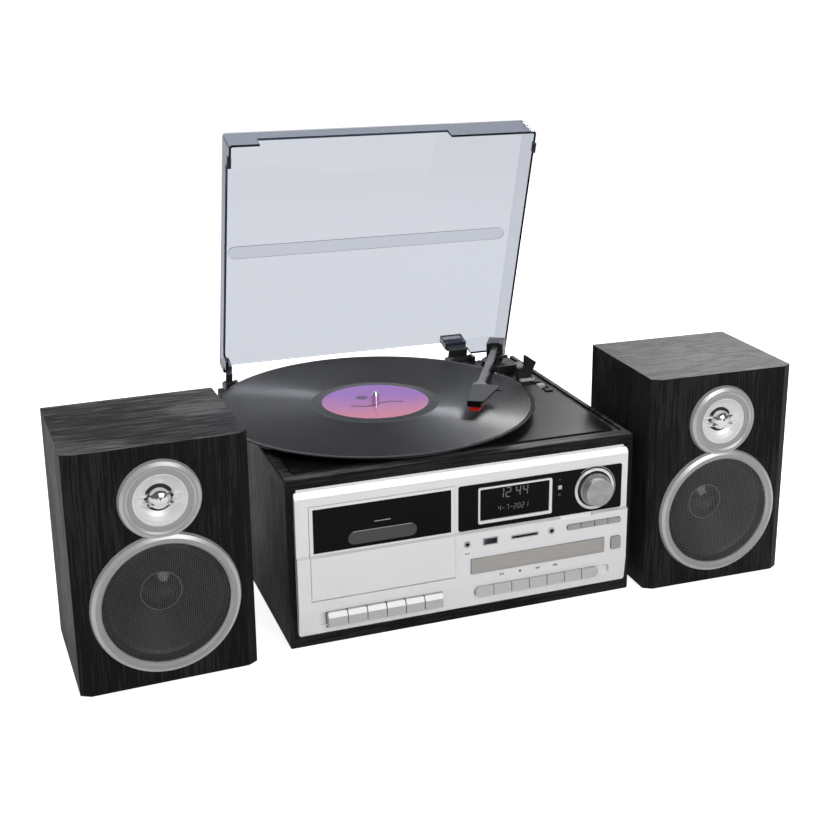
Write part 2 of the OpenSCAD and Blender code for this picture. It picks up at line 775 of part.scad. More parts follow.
module disc_tray() {
    y0 = face_lo - 1.4 + front_t;
    cx = drawer_px + drawer_w / 2;
    color("#1c1c1e") difference() {
        block(drawer_px + 4, y0, tray_z, tray_w, tray_len, tray_h);
        translate([cx, y0 + disc_r + 1.5, tray_z + tray_h - 3]) cylinder(r = disc_r, h = 5);
        translate([cx, y0 + disc_r + 1.5, tray_z + tray_h - 4.2]) cylinder(r = 41, h = 5);
        // Slot for the drive under the disc
        block(cx - 14, y0 + disc_r - 12, tray_z - eps, 28, tray_len - disc_r + 12 + eps,
            tray_h + 2 * eps);
        // Toothed underside rack beside the slot
        block(cx + 30, y0 + 12, tray_z - eps, 5, tray_len - 20, 2 + eps);
    }
}

dm_y = 14;
dm_d = tray_len + 22;
module disc_mechanism() {
    x0 = drawer_px + 4 - 3;
    w = tray_w + 6;
    z0 = tray_z - 9;
    h = tray_h + 16;
    cx = drawer_px + drawer_w / 2;
    color("#3b3b3e") {
        difference() {
            block(x0, dm_y, z0, w, dm_d, h);
            block(x0 + 3 - gap, dm_y - eps, tray_z - gap, w - 6 + 2 * gap, dm_d - 4,
                tray_h + 3.5);
            // Drive opening under the disc
            block(cx - 16, dm_y + 34, z0 + 2, 32, dm_d - 60, h);
        }
        // Feet down to the cabinet's floor
        for (x = [x0, x0 + w - 8], y = [dm_y + 6, dm_y + dm_d - 22])
            block(x, y, floor_z, 8, 16, z0 - floor_z);
    }
    // Disc motor with its hub, and the laser sledge, on the floor of the drive
    color("#a8a9ab") {
        translate([cx, dm_y + 52, z0 + 2]) cylinder(r = 9, h = 4);
        block(cx - 11, dm_y + 72, z0 + 2, 22, 20, 4);
    }
}

module jack(x) {
    difference() {
        union() {
            bar_y(x, face_lo - 0.4, socket_z, 3.2, 14.4 + 0.4);
            block(x - 4.6, 0.2, socket_z - 4.4, 9.2, jack_len, 8.8);
        }
        bar_y(x, face_lo - 0.4 - eps, socket_z, jack_r, jack_len + eps);
    }
}

module socket_shell(x, size) {
    w = size[0] + 2 * usb_wall;
    h = size[1] + 2 * usb_wall;
    difference() {
        block(x - w / 2, face_lo - 0.3, socket_z - h / 2, w, socket_d + 2, h);
        block(x - size[0] / 2, face_lo - 1, socket_z - size[1] / 2, size[0], socket_d, size[1]);
    }
}

module front_sockets() {
    color("#9a9b9d") {
        jack(phones_x);
        jack(aux_x);
        socket_shell(usb_x, usb_in);
        socket_shell(card_x, card_in);
    }
}

module platter() {
    color("#2a2a2c") translate([rec_x, rec_y, deck_z]) rotate_extrude() difference() {
        union() {
            translate([spindle_r + run, platter_top - plat_t])
                square([platter_r - spindle_r - run, plat_t]);
            translate([platter_r - rim_t, plat_under]) square([rim_t, platter_top - plat_under]);
            translate([drive_r - ring_t_drive, plat_under])
                square([ring_t_drive, platter_top - plat_under]);
            translate([spindle_r + run, 0.4]) square([hub_r - spindle_r, platter_top - 0.4]);
        }
        translate([platter_r - 1, platter_top - 1]) rotate(45) square([3, 3]);
    }
}

module slip_mat() {
    color("#18181a") translate([rec_x, rec_y, deck_z + platter_top]) difference() {
        cylinder(r = platter_r - 2, h = mat_t);
        translate([0, 0, -eps]) cylinder(r = spindle_r + run, h = mat_t + 2 * eps);
    }
}

module record() {
    color("#0c0c0e") translate([rec_x, rec_y, rec_z0]) rotate_extrude()
        polygon([[spindle_r + run, 0], [rec_r - 3, 0], [rec_r - 0.6, 0.3], [rec_r, rec_t / 2],
            [rec_r - 0.6, rec_t - 0.3], [rec_r - 3, rec_t - 0.2], [rec_r - 5, rec_t - 0.5],
            [label_r + 8, rec_t - 0.5], [label_r + 1, rec_t], [spindle_r + run, rec_t]]);
}

module spindle() {
    color("#d8d8da") translate([rec_x, rec_y, 0]) {
        translate([0, 0, deck_z - hub_down])
            cylinder(r = spindle_r, h = rec_z1 + spindle_up - 3 - deck_z + hub_down);
        translate([0, 0, rec_z1 + spindle_up - 3])
            cylinder(r1 = spindle_r, r2 = spindle_r - 1.6, h = 3);
    }
}

module turntable_motor() {
    color("#97989a") translate([motor_x, motor_y, deck_z - deck_t - 3 - motor_h]) {
        cylinder(r = motor_r, h = motor_h);
        cylinder(r = 1, h = motor_h + deck_t + 3 + 4);
    }
}

module motor_pulley() {
    color("#c9a24a") translate([motor_x, motor_y, deck_z + plat_under]) rotate_extrude()
        polygon([[1 + run, 0], [pulley_r + 0.8, 0], [pulley_r, 0.5], [pulley_r, 3],
            [pulley_r + 0.8, 3.5], [1 + run, 3.5]]);
}

// Belt outline: two circles and the straight runs that touch both
module belt_outline(ra, rb) {
    a = acos((ra - rb) / motor_reach);
    circle(ra);
    translate([motor_reach, 0]) circle(rb);
    polygon([[ra * cos(a), ra * sin(a)], [motor_reach + rb * cos(a), rb * sin(a)],
        [motor_reach + rb * cos(a), -rb * sin(a)], [ra * cos(a), -ra * sin(a)]]);
}

module drive_belt() {
    r0 = drive_r + run;
    p0 = pulley_r + run;
    color("#111111") translate([rec_x, rec_y, deck_z + belt_up]) rotate([0, 0, motor_dir])
        linear_extrude(belt_h) difference() {
            belt_outline(r0 + belt_t, p0 + belt_t);
            belt_outline(r0, p0);
        }
}

// Frame of the tone arm: x along the arm, from the pivot to the head
module arm_frame() {
    translate([piv_x, piv_y, deck_z]) rotate([0, 0, arm_dir]) children();
}

module cue_stem_place() {
    translate([piv_x + cue_reach * cos(arm_dir + 9), piv_y + cue_reach * sin(arm_dir + 9),
        deck_z]) children();
}

module tonearm_base() {
    color("#161618") {
        difference() {
            union() {
                translate([piv_x, piv_y, deck_z]) {
                    cylinder(r = 15, h = 5);
                    cylinder(r = 8, h = yoke_low - gap);
                    cylinder(r = post_r, h = yoke_low + 4);
                }
                // Housing of the cue lift, in front of the pivot
                top_block(piv_x - 15, piv_y - 36, deck_z, 24, 22, yoke_low - gap, 2);
            }
            cue_stem_place() translate([0, 0, -1]) cylinder(r = 2.2 + run, h = 20);
            bar_x(piv_x + 1, piv_y - 30, deck_z + 6, 1.5 + run, 20);
        }
        // Arm rest: a post with a shelf for the bar, and a tall outer horn
        top_block(parked_x - 5, parked_y - 11, deck_z, 16, 16, 2.2, 2);
        translate([parked_x, parked_y + 3.5, deck_z]) rotate([90, 0, 0]) linear_extrude(7)
            polygon([[-4, 0], [-4, rest_top], [4.3, rest_top], [4.3, yoke_top + 0.2],
                [6, yoke_top + 0.4], [15.4, 19.5], [10.4, 8], [10.4, 0]]);
        translate([clip_x, clip_y, deck_z]) cylinder(r = 1.2, h = 5.4);
    }
}

module tonearm_yoke() {
    inner = yoke_w - 2 * cheek_t;
    color("#161618") arm_frame() difference() {
        union() {
            translate([-yoke_l / 2, -yoke_w / 2, yoke_low])
                cube([yoke_l, yoke_w, 3.4]);
            for (s = [0, 1])
                translate([-yoke_l / 2, s ? yoke_w / 2 - cheek_t : -yoke_w / 2, yoke_low])
                    cube([yoke_l, cheek_t, yoke_top - yoke_low]);
            translate([-yoke_l / 2, -yoke_w / 2, yoke_top - 2.6]) cube([yoke_l - 4, yoke_w, 2.6]);
        }
        translate([0, 0, yoke_low - eps]) cylinder(r = post_r + run, h = 4.4);
        translate([0, -yoke_w, arm_up]) rotate([-90, 0, 0])
            cylinder(r = arm_pin_r + run, h = 2 * yoke_w);
        // Bevels of the cover
        translate([-yoke_l / 2, 0, yoke_top]) rotate([0, 45, 0]) cube([3, 2 * yoke_w, 3], center = true);
    }
}

module tonearm() {
    inner = yoke_w - 2 * cheek_t - 2 * gap;
    color("#8c8c8f") arm_frame() {
        difference() {
            union() {
                // Balance block between the cheeks, with its pivot pins
                translate([-10, -inner / 2, arm_up - 3]) cube([18, inner, 6]);
                translate([0, -yoke_w / 2, arm_up]) rotate([-90, 0, 0])
                    cylinder(r = arm_pin_r, h = yoke_w);
                translate([6, -arm_w / 2, arm_up - arm_h / 2]) cube([arm_len - 6, arm_w, arm_h]);
                // Foot that carries the head
                translate([arm_len - 10, -arm_w / 2, arm_up - arm_h / 2])
                    linear_extrude(arm_h) polygon([[0, 0], [10, -4], [12, -4], [12, 10],
                        [10, 10], [0, 6]]);
            }
            // Two long flutes along the bar
            for (y = [-1.4, 1.4]) translate([18, y - 0.45, arm_up + arm_h / 2 - 0.8])
                cube([arm_len - 34, 0.9, 2]);
        }
    }
}

head_skew = -9.6;
module headshell() {
    x0 = arm_len + 2;
    color("#121214") arm_frame() {
        translate([0, 0, shell_top - shell_t]) linear_extrude(shell_t)
            polygon([[x0, -6.5], [x0, 17], [x0 + 4, 19.5], [x0 + head_len - 4, 9.6],
                [x0 + head_len - 2, 8.6], [x0 + head_len - 2, -3.4], [x0 + head_len - 4, -4.4]]);
        // Collar against the arm's foot
        translate([x0, -6.5, arm_up - arm_h / 2]) cube([5, 15, shell_top - shell_t - arm_up + arm_h / 2]);
        // Pick-up body under the shell
        translate([x0 + 12, 6.2, 0]) rotate([0, 0, head_skew])
            translate([0, -6.5, rec_z1 - deck_z + stylus_gap + 3]) cube([34, 13,
                shell_top - shell_t - (rec_z1 - deck_z + stylus_gap + 3)]);
        // Finger lift on the outer side
        translate([x0 + 8, 17.2, shell_top - shell_t]) linear_extrude(1.2)
            polygon([[0, 0], [5, -1], [4.2, 5], [1.4, 5]]);
    }
}

module stylus() {
    z0 = rec_z1 - deck_z + stylus_gap;
    x0 = arm_len + head_len - 1;
    color("#d8261c") arm_frame() translate([x0, 0, 0]) rotate([0, 0, head_skew]) {
        translate([-22, 2.5 - 4.5 - 1, z0 + 3 - 1.8]) cube([21, 9, 1.8]);
        translate([-2, -3, z0]) rotate([-90, 0, 0]) linear_extrude(9) polygon([[-9, -1.2],
            [2, -1.2], [3, -3], [4, -3], [4, -0.6 - 1.2], [0, -0.6], [-2, -0.6]]);
        translate([-1.4, 1.5, z0]) cylinder(r1 = 0.3, r2 = 0.7, h = 1.2);
    }
}

module cue_lift() {
    top = arm_up - arm_h / 2 - 0.5;
    color("#161618") {
        cue_stem_place() translate([0, 0, -6]) cylinder(r = 2.2, h = top + 5);
        // Curved bar under the whole swing of the arm
        translate([piv_x, piv_y, deck_z + top - 2.4]) intersection() {
            difference() {
                cylinder(r = cue_reach + 2, h = 2.4);
                translate([0, 0, -eps]) cylinder(r = cue_reach - 2, h = 4);
            }
            linear_extrude(10) polygon([[0, 0], [60 * cos(arm_dir - 18), 60 * sin(arm_dir - 18)],
                [60 * cos(arm_dir + 10), 60 * sin(arm_dir + 10)],
                [60 * cos(arm_dir + 37), 60 * sin(arm_dir + 37)]]);
        }
    }
}

module cue_lever() {
    color("#1b1b1d") {
        bar_x(piv_x + 1.5, piv_y - 30, deck_z + 6, 1.5, 11);
        translate([piv_x + 9.5, piv_y - 30, deck_z + 6]) rotate([14, 0, 0])
            top_block(0, -17, -1.5, 7, 21, 3, 1.2);
    }
}

module arm_clip() {
    color("#c9c9c7") translate([clip_x, clip_y, deck_z + 2.6]) difference() {
        union() {
            cylinder(r = 2.4, h = 2.2);
            translate([-13, -1.8, 0]) cube([13, 3.6, 2.2]);
        }
        translate([0, 0, -eps]) cylinder(r = 1.2 + run, h = 4);
    }
}

// Slide switch: stem in its slot and a ribbed cap
module slide_switch(y) {
    difference() {
        union() {
            block(switch_x - 0.9, y - 2, deck_z - 9, 1.8, 4, 8);
            block(switch_x - 3.4, y - 3, deck_z - 1.6, 6.8, 6, 2.9);
        }
        for (k = [-1, 0, 1]) block(switch_x - 4, y + k * 1.6 - 0.3, deck_z + 0.7, 8, 0.6, 1);
    }
}

module speed_switch() {
    color("#26262a") slide_switch(switch_y - switch_len / 2 + 5.4);
}

module autostop_switch() {
    color("#d6d6d4") slide_switch(switch_y + switch_len / 2 - 12.6);
}

// The lid as it lies when closed
module lid_closed() {
    x0 = -lid_w / 2;
    difference() {
        top_block(x0, lid_front, lid_z, lid_w, lid_d, lid_h, 3);
        top_block(x0 + lid_t, lid_front + lid_t, lid_z - eps, lid_w - 2 * lid_t,
            lid_d - 2 * lid_t, lid_h - lid_t + eps, 1.5);
        // Reliefs for the overhanging record
        block(rec_x - chord_front - relief_over, lid_front - eps, lid_z - eps,
            2 * (chord_front + relief_over) + 12, lid_t + 2 * eps, relief_h + eps);
        block(x0 - eps, rec_y - chord_side - relief_over, lid_z - eps, lid_t + 2 * eps,
            2 * (chord_side + relief_over) - 6, relief_h + eps);
        block(rec_x - chord_back - 35, lid_front + lid_d - lid_t - eps, lid_z - eps,
            2 * (chord_back + 35), lid_t + 2 * eps, lid_h - lid_t + eps);
        // Notches for the hinges
        for (i = [0, 1]) block(hinge_x[i] - hinge_w[i] / 2 - gap, cab_d - hinge_d - 1.5,
            lid_z - eps, hinge_w[i] + 2 * gap, 30, hinge_h + 1 + eps);
    }
    // Long raised panel across the lid
    translate([-lid_w / 2 + 7, lid_front + lid_d * 0.47, lid_z + lid_h - 0.1])
        linear_extrude(0.9) round_rect(lid_w - 14, 13, 6.4);
    // Sockets for the hinge blades, ribbed
    for (i = [0, 1]) {
        by = lid_front + lid_d - lid_t - 7;
        sx = max(blade_x0[i] - 1.6, -lid_w / 2 + lid_t - 0.1);
        ex = blade_x1[i] + 1.6;
        difference() {
            block(sx, by, lid_z + hinge_h + 1, ex - sx, 7.2, lid_h - lid_t - hinge_h - 1 + 0.2);
            block(blade_x0[i] - fit, by + 3.2 - fit, lid_z + hinge_h,
                blade_x1[i] - blade_x0[i] + 2 * fit, blade_t + 2 * fit,
                blade_up - hinge_h + 6.2);
        }
    }
}

module lid_turned() {
    translate([0, lid_py, lid_pz]) rotate([-lid_open, 0, 0])
        translate([0, -lid_py, -lid_pz]) children();
}

module lid() {
    color([0.35, 0.42, 0.52, 0.4]) lid_turned() lid_closed();
}

// Hinge arms: knuckle on the pin, a neck under the rim, and the blade in the lid's socket
bumper_len = 10;
module lid_fittings() {
    by = lid_front + lid_d - lid_t - 7 + 3.2;
    color("#141416") lid_turned() for (i = [0, 1]) {
        bx = hinge_w[i] - 2 * hinge_ear - 1;
        difference() {
            union() {
                bar_x(hinge_x[i] - bx / 2, lid_py, lid_pz, knuckle_r, bx);
                block(hinge_x[i] - bx / 2, by, lid_pz + 0.6, bx, lid_py - by, 3.2);
                block(blade_x0[i], by, lid_pz + 0.6, blade_x1[i] - blade_x0[i], blade_t,
                    blade_up);
            }
            bar_x(hinge_x[i] - bx, lid_py, lid_pz, hinge_pin_r + run, 2 * bx);
        }
    }
    // Rubber bumpers under the rim, near the front corners
    color("#101010") lid_turned() for (s = [-1, 1]) {
        x0 = s > 0 ? lid_w / 2 - lid_t + 0.2 : -lid_w / 2 - 0.8;
        block(x0, lid_front + 12, lid_z - 2, lid_t + 0.6, bumper_len, 2);
        block(s > 0 ? lid_w / 2 : -lid_w / 2 - 0.8, lid_front + 12, lid_z - 2, 0.8,
            bumper_len, 6);
    }
}

module hinge_bases() {
    color("#141416") for (i = [0, 1]) {
        x0 = hinge_x[i] - hinge_w[i] / 2;
        // Seat screwed to the cabinet, under the arm's neck, and two ears with the pin
        top_block(x0, cab_d - hinge_d, deck_z - groove_t, hinge_w[i], hinge_d - 3.6,
            groove_t + 0.4, 0.5);
        for (ex = [x0, x0 + hinge_w[i] - hinge_ear]) {
            block(ex, cab_d - hinge_d, deck_z - groove_t, hinge_ear, hinge_d, hinge_h);
            bar_x(ex, lid_py, lid_pz, knuckle_r, hinge_ear);
            block(ex, cab_d - 0.1, deck_z - groove_t, hinge_ear, lid_piv_back, hinge_h - 3);
        }
        bar_x(x0, lid_py, lid_pz, hinge_pin_r, hinge_w[i]);
    }
}

// Speaker frame: x across, y into the box, z up from the table
module spk_shell() {
    translate([0, 0, foot_h]) difference() {
        linear_extrude(spk_h) polygon([[-spk_w / 2 + spk_cham, 0], [spk_w / 2 - spk_cham, 0],
            [spk_w / 2, spk_cham * 0.6], [spk_w / 2, spk_d], [-spk_w / 2, spk_d],
            [-spk_w / 2, spk_cham * 0.6]]);
        translate([-spk_w / 2 + spk_wall, spk_wall, spk_wall])
            cube([spk_w - 2 * spk_wall, spk_d - 2 * spk_wall, spk_h - 2 * spk_wall]);
        // Small bevel along the top of the front
        translate([-spk_w, 0, spk_h]) rotate([45, 0, 0]) cube([2 * spk_w, 2.4, 2.4], center = false);
        bar_y(0, -eps, woof_z, woof_r - 6, spk_wall + 2 * eps);
        bar_y(0, -eps, tweet_z, horn_r + 3, spk_wall + 2 * eps);
        // Terminal plate opening in the back
        translate([-18, spk_d - 2, 60]) cube([36, 4, 26]);
    }
}

module speaker_cabinets() {
    color("#1d1c1b") for (left = [true, false]) spk_place(left) spk_shell();
    color("#222224") for (left = [true, false]) spk_place(left) translate([0, 0, foot_h])
        difference() {
            translate([-18 + fit, spk_d - 2, 60 + fit]) cube([36 - 2 * fit, 2, 26 - 2 * fit]);
            for (s = [-1, 1]) translate([s * 8 - 5, spk_d - 1, 68]) cube([10, 4, 10]);
        }
}

module front_ring(r, w, inner_drop) {
    rotate([90, 0, 0]) rotate_extrude() polygon([[r - w, 0], [r - w, ring_t - inner_drop],
        [r - w + 1.6, ring_t], [r - 4, ring_t], [r - 1.2, ring_t - 1.8], [r, 0]]);
}

module speaker_trims() {
    color("#cfd0d2") for (left = [true, false]) spk_place(left) translate([0, 0, foot_h]) {
        translate([0, 0, woof_z]) front_ring(woof_r, ring_w_woof, 2.2);
        difference() {
            union() {
                translate([0, 0, tweet_z]) front_ring(tweet_r, 7, 1.2);
                translate([0, 0, tweet_z]) rotate([90, 0, 0]) difference() {
                    cylinder(r = tweet_r - 5, h = ring_t - 1.6);
                    translate([0, 0, -eps]) cylinder(r = horn_r, h = ring_t + 2 * eps);
                }
            }
            translate([0, 1, woof_z]) rotate([90, 0, 0]) cylinder(r = woof_r - 4, h = ring_t + 2);
        }
    }
}

dome_r = 9;
blade_w = 37;
// Bar across the tweeter's mouth, pointed at both ends and bowed forward
module mouth_blade() {
    intersection() {
        translate([-blade_w / 2, -8, -0.7]) cube([blade_w, 14, 1.4]);
        translate([0, 30.5, -2]) cylinder(r = 33.5, h = 4);
        translate([0, -34, -2]) difference() {
            translate([-30, 0, 0]) cube([60, 60, 4]);
            translate([0, 0, -1]) cylinder(r = 30.5, h = 6);
        }
    }
}

module tweeters() {
    color("#dcdde0") for (left = [true, false]) spk_place(left)
        translate([0, 0, foot_h + tweet_z]) {
            // Flared mouth with the dome on a stem in it
            rotate([90, 0, 0]) rotate_extrude() polygon([[0, -9], [horn_r - fit, -9],
                [horn_r - fit, 2.8], [horn_r - 1, 3], [horn_r - 3.4, 0.2], [horn_r - 6.4, -2.2],
                [dome_r + 2.4, -4.2], [dome_r, -4.6], [dome_r, -2.6], [dome_r - 0.5, -0.6],
                [dome_r - 1.6, 1.2], [dome_r - 3.4, 2.8], [dome_r - 5.8, 3.9],
                [0, 4.6]]);
            for (side = [1, -1]) translate([0, 0, side * 3.6]) rotate([side * -14, 0, 0])
                mouth_blade();
        }
}

module woofer_grilles() {
    color("#101010") for (left = [true, false]) spk_place(left)
        translate([0, 0, foot_h + woof_z]) rotate([90, 0, 0]) {
            translate([0, 0, 0.6]) difference() {
                cylinder(r = mesh_r - fit, h = 1.2);
                for (i = [-6:6], k = [-6:6])
                    if (norm([i, k]) * 7.4 < mesh_r - 5)
                        translate([i * 7.4 - 2.9, k * 7.4 - 2.9, -1]) cube([5.8, 5.8, 4]);
            }
        }
}

cap_r = 16;
module woofers() {
    color("#1a1a1c") for (left = [true, false]) spk_place(left)
        translate([0, 0, foot_h + woof_z]) rotate([90, 0, 0]) {
            // Basket and surround in the cut-out, cone, dust cap and magnet, as one turned form
            rotate_extrude() polygon([[0, -16], [5, -16.4], [10, -18.2], [cap_r, -22],
                [cap_r + 1, -22], [mesh_r - 8, -4], [mesh_r - 5, -2.4], [mesh_r - 2, -4],
                [woof_r - 6.2, -4], [woof_r - 6.2, -8], [mesh_r - 6, -10], [30, -36],
                [30, -40], [35, -40], [35, -56], [0, -56]]);
        }
}

place() cabinet();
place() rear_panel();
place() rubber_feet();
place() deck_plate();
place() fascia();
place() display_window();
place() electronics();
place() volume_knob();
place() cassette_door();
place() cassette_pane();
place() cassette_mechanism();
place() spool(-1);  // spool_left
place() spool(1);  // spool_right
for (i = [1:key_count])
    place() cassette_key(i);
place() disc_tray();
place() drawer_front();
place() disc_mechanism();
place() eject_button();
for (i = [1:fbtn_count])
    place() function_button(i);
for (i = [1:tbtn_count])
    place() transport_button(i);
place() front_sockets();
place() platter();
place() slip_mat();
place() record();
place() spindle();
place() turntable_motor();
place() motor_pulley();
place() drive_belt();
place() tonearm_base();
place() tonearm_yoke();
place() tonearm();
place() headshell();
place() stylus();
place() cue_lift();
place() cue_lever();
place() arm_clip();
place() speed_switch();
place() autostop_switch();
place() lid();
place() lid_fittings();
place() hinge_bases();
place() speaker_cabinets();
place() speaker_trims();
place() tweeters();
place() woofer_grilles();
place() woofers();
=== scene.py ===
"""Stereo music centre: the finish of each piece, its printed marks, and the studio."""

import math

import bpy
from mathutils import Matrix, Vector


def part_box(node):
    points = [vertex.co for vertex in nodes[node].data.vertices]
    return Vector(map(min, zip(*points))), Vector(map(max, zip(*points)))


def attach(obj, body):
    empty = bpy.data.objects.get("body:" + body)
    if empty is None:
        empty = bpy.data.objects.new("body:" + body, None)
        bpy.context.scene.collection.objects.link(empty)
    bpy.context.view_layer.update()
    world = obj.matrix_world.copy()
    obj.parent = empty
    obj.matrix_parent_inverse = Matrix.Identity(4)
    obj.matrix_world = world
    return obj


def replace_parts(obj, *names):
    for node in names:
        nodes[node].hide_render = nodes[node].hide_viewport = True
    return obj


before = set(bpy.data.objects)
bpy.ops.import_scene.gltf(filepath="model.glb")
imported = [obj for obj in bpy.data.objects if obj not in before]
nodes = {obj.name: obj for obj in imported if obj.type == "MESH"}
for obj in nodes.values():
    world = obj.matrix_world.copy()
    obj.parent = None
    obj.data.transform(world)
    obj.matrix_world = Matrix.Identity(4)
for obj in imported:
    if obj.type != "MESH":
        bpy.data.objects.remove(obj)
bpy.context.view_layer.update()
mm = 0.001

# Cabinet and speaker boxes.
# Boards of pressed wood under black ash veneer: open pores run along the grain and catch the
# light. The grain stands upright on fronts and sides and lies from side to side on the tops.
cab_lo, cab_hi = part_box("cabinet")


def at_unit(x, y, z):
    """A place in millimetres, from the middle of the main unit's front at table level."""
    return Vector(((cab_lo.x + cab_hi.x) / 2 + x * mm, cab_lo.y + y * mm, z * mm))


def shader(name, **numbers):
    """A material with its constant numbers; its tree and its Principled sockets."""
    made = bpy.data.materials.new(name)
    made.use_nodes = True
    tree = made.node_tree
    sockets = tree.nodes["Principled BSDF"].inputs
    for socket, value in numbers.items():
        sockets[socket.replace("_", " ")].default_value = value
    return made, tree, sockets


def put(tree, kind, out=0, **inputs):
    """A new node of a tree. Values that are sockets are linked; the chosen output comes back."""
    made = tree.nodes.new("ShaderNode" + kind)
    for key, value in inputs.items():
        if hasattr(made, key) and not isinstance(value, bpy.types.NodeSocket):
            setattr(made, key, value)
            continue
        socket = made.inputs[int(key[1:])] if key[1:].isdigit() else made.inputs[key]
        if isinstance(value, bpy.types.NodeSocket):
            tree.links.new(value, socket)
        else:
            socket.default_value = value
    return made.outputs[out]


def sum_of(tree, a, b):
    return put(tree, "Math", operation="ADD", i0=a, i1=b)


def times(tree, a, b):
    return put(tree, "Math", operation="MULTIPLY", i0=a, i1=b)


def ramp(tree, value, low, high, to_low=0.0, to_high=1.0):
    return put(tree, "MapRange", i0=value, i1=low, i2=high, i3=to_low, i4=to_high)


def two_tone(tree, mask, one, other):
    return put(tree, "Mix", out=2, data_type="RGBA", i0=mask, i6=one, i7=other)


def object_place(tree):
    return put(tree, "TexCoord", out="Object")


def new_group(name, ins, outs):
    """A node group with float or colour sockets, each given with its default."""
    tree = bpy.data.node_groups.new(name, "ShaderNodeTree")
    for socket, (kind, value) in ins.items():
        made = tree.interface.new_socket(socket, in_out="INPUT", socket_type="NodeSocket" + kind)
        made.default_value = value
    for socket, kind in outs.items():
        tree.interface.new_socket(socket, in_out="OUTPUT", socket_type="NodeSocket" + kind)
    return tree, tree.nodes.new("NodeGroupInput").outputs, tree.nodes.new("NodeGroupOutput").inputs


def use_group(tree, group, **inputs):
    made = tree.nodes.new("ShaderNodeGroup")
    made.node_tree = group
    for key, value in inputs.items():
        if isinstance(value, bpy.types.NodeSocket):
            tree.links.new(value, made.inputs[key])
        else:
            made.inputs[key].default_value = value
    return made.outputs


def dress(material, *names):
    """Give CAD nodes one finish."""
    for name in names:
        nodes[name].data.materials.clear()
        nodes[name].data.materials.append(material)


ash, g_in, g_out = new_group(
    "ash veneer",
    {"Dark": ("Color", (0, 0, 0, 1)), "Pale": ("Color", (0.1, 0.1, 0.1, 1)),
     "Sideways": ("Float", 0.0)},
    {"Colour": "Color", "Roughness": "Float", "Height": "Float"},
)
place = object_place(ash)
facing = put(ash, "SeparateXYZ", out="Z", Vector=put(ash, "NewGeometry", out="Normal"))
lying = ramp(ash, put(ash, "Math", operation="ABSOLUTE", i0=facing), 0.6, 0.8)
sideways = put(ash, "Math", operation="MAXIMUM", i0=lying, i1=g_in["Sideways"])


def along_grain(across, along):
    """Object place, stretched along the upright grain or along the grain from side to side."""
    upright = put(ash, "Mapping", Vector=place, Scale=(across, across, along))
    flat = put(ash, "Mapping", Vector=place, Scale=(along, across, across))
    return put(ash, "Mix", out=1, data_type="VECTOR", i0=sideways, i4=upright, i5=flat)


wander = put(ash, "TexNoise", Vector=along_grain(9, 2.4), Scale=1.0, Detail=3.0)
rings = put(ash, "Math", operation="SINE", i0=times(ash, wander, 26.0))
pores = put(ash, "TexNoise", Vector=along_grain(620, 26), Scale=1.0, Detail=3.0, Roughness=0.62)
open_pore = ramp(ash, sum_of(ash, pores, ramp(ash, rings, -1.0, 1.0, 0.0, 0.12)), 0.54, 0.64)
streak = put(ash, "TexNoise", Vector=along_grain(150, 4), Scale=1.0, Detail=4.0)
level = sum_of(ash, times(ash, open_pore, 0.85), times(ash, ramp(ash, streak, 0.45, 0.75), 0.2))
# Painted light: faces that lie flat, the tops, are painted up to eleven times paler than the
# fronts, as painted sheen of the bright surround in their lacquer
grained = two_tone(ash, level, g_in["Dark"], g_in["Pale"])
tone = put(ash, "VectorMath", operation="SCALE", i0=grained,
           Scale=ramp(ash, lying, 0.0, 1.0, 1.0, 11.0))
ash.links.new(tone, g_out["Colour"])
ash.links.new(ramp(ash, level, 0.0, 1.0, 0.4, 0.55), g_out["Roughness"])
ash.links.new(times(ash, open_pore, -1.0), g_out["Height"])


def veneer(name, sideways=None):
    made, tree, sockets = shader(name, Specular_IOR_Level=0.12)
    parts = use_group(tree, ash, Dark=(0.002, 0.002, 0.0023, 1), Pale=(0.019, 0.0185, 0.0185, 1))
    if sideways:
        tree.links.new(sideways(tree), parts[0].node.inputs["Sideways"])
    tree.links.new(parts["Colour"], sockets["Base Color"])
    tree.links.new(parts["Roughness"], sockets["Roughness"])
    bump = put(tree, "Bump", Strength=0.45, Distance=0.0004, Height=parts["Height"])
    tree.links.new(bump, sockets["Normal"])
    return made


def on_rails(tree):
    """Mask of the top and bottom boards' front edges, where the veneer lies sideways."""
    high = put(tree, "SeparateXYZ", out="Z", Vector=object_place(tree))
    board_t = 11 * mm
    low_board = ramp(tree, high, board_t, board_t + 0.1 * mm, 1.0, 0.0)
    top_board = ramp(tree, high, cab_hi.z - board_t, cab_hi.z - board_t + 0.1 * mm)
    return sum_of(tree, low_board, top_board)


dress(veneer("cabinet ash", on_rails), "cabinet")
dress(veneer("speaker ash"), "speaker_cabinets")

# Rear panel and the black moulded parts.
# Injection-moulded black plastic with a fine spark-eroded grain. The rear panel is held to the
# boards by eight round-headed screws of blackened steel.
moulded, g_in, g_out = new_group(
    "moulded surface",
    {"Colour": ("Color", (0.5, 0.5, 0.5, 1)), "Mottle": ("Float", 0.1), "Scale": ("Float", 40.0),
     "Grain": ("Float", 900.0), "Roughness": ("Float", 0.4)},
    {"Colour": "Color", "Roughness": "Float", "Height": "Float"},
)
place = object_place(moulded)
cloud = put(moulded, "TexNoise", Vector=place, Scale=g_in["Scale"], Detail=4.0)
grain = put(moulded, "TexNoise", Vector=place, Scale=g_in["Grain"], Detail=2.0)
centred = put(moulded, "Math", operation="SUBTRACT", i0=cloud, i1=0.5)
shift = times(moulded, centred, g_in["Mottle"])
tone = put(moulded, "VectorMath", operation="SCALE", i0=g_in["Colour"],
           Scale=sum_of(moulded, shift, 1.0))
moulded.links.new(tone, g_out["Colour"])
moulded.links.new(sum_of(moulded, g_in["Roughness"], times(moulded, shift, 0.6)),
                  g_out["Roughness"])
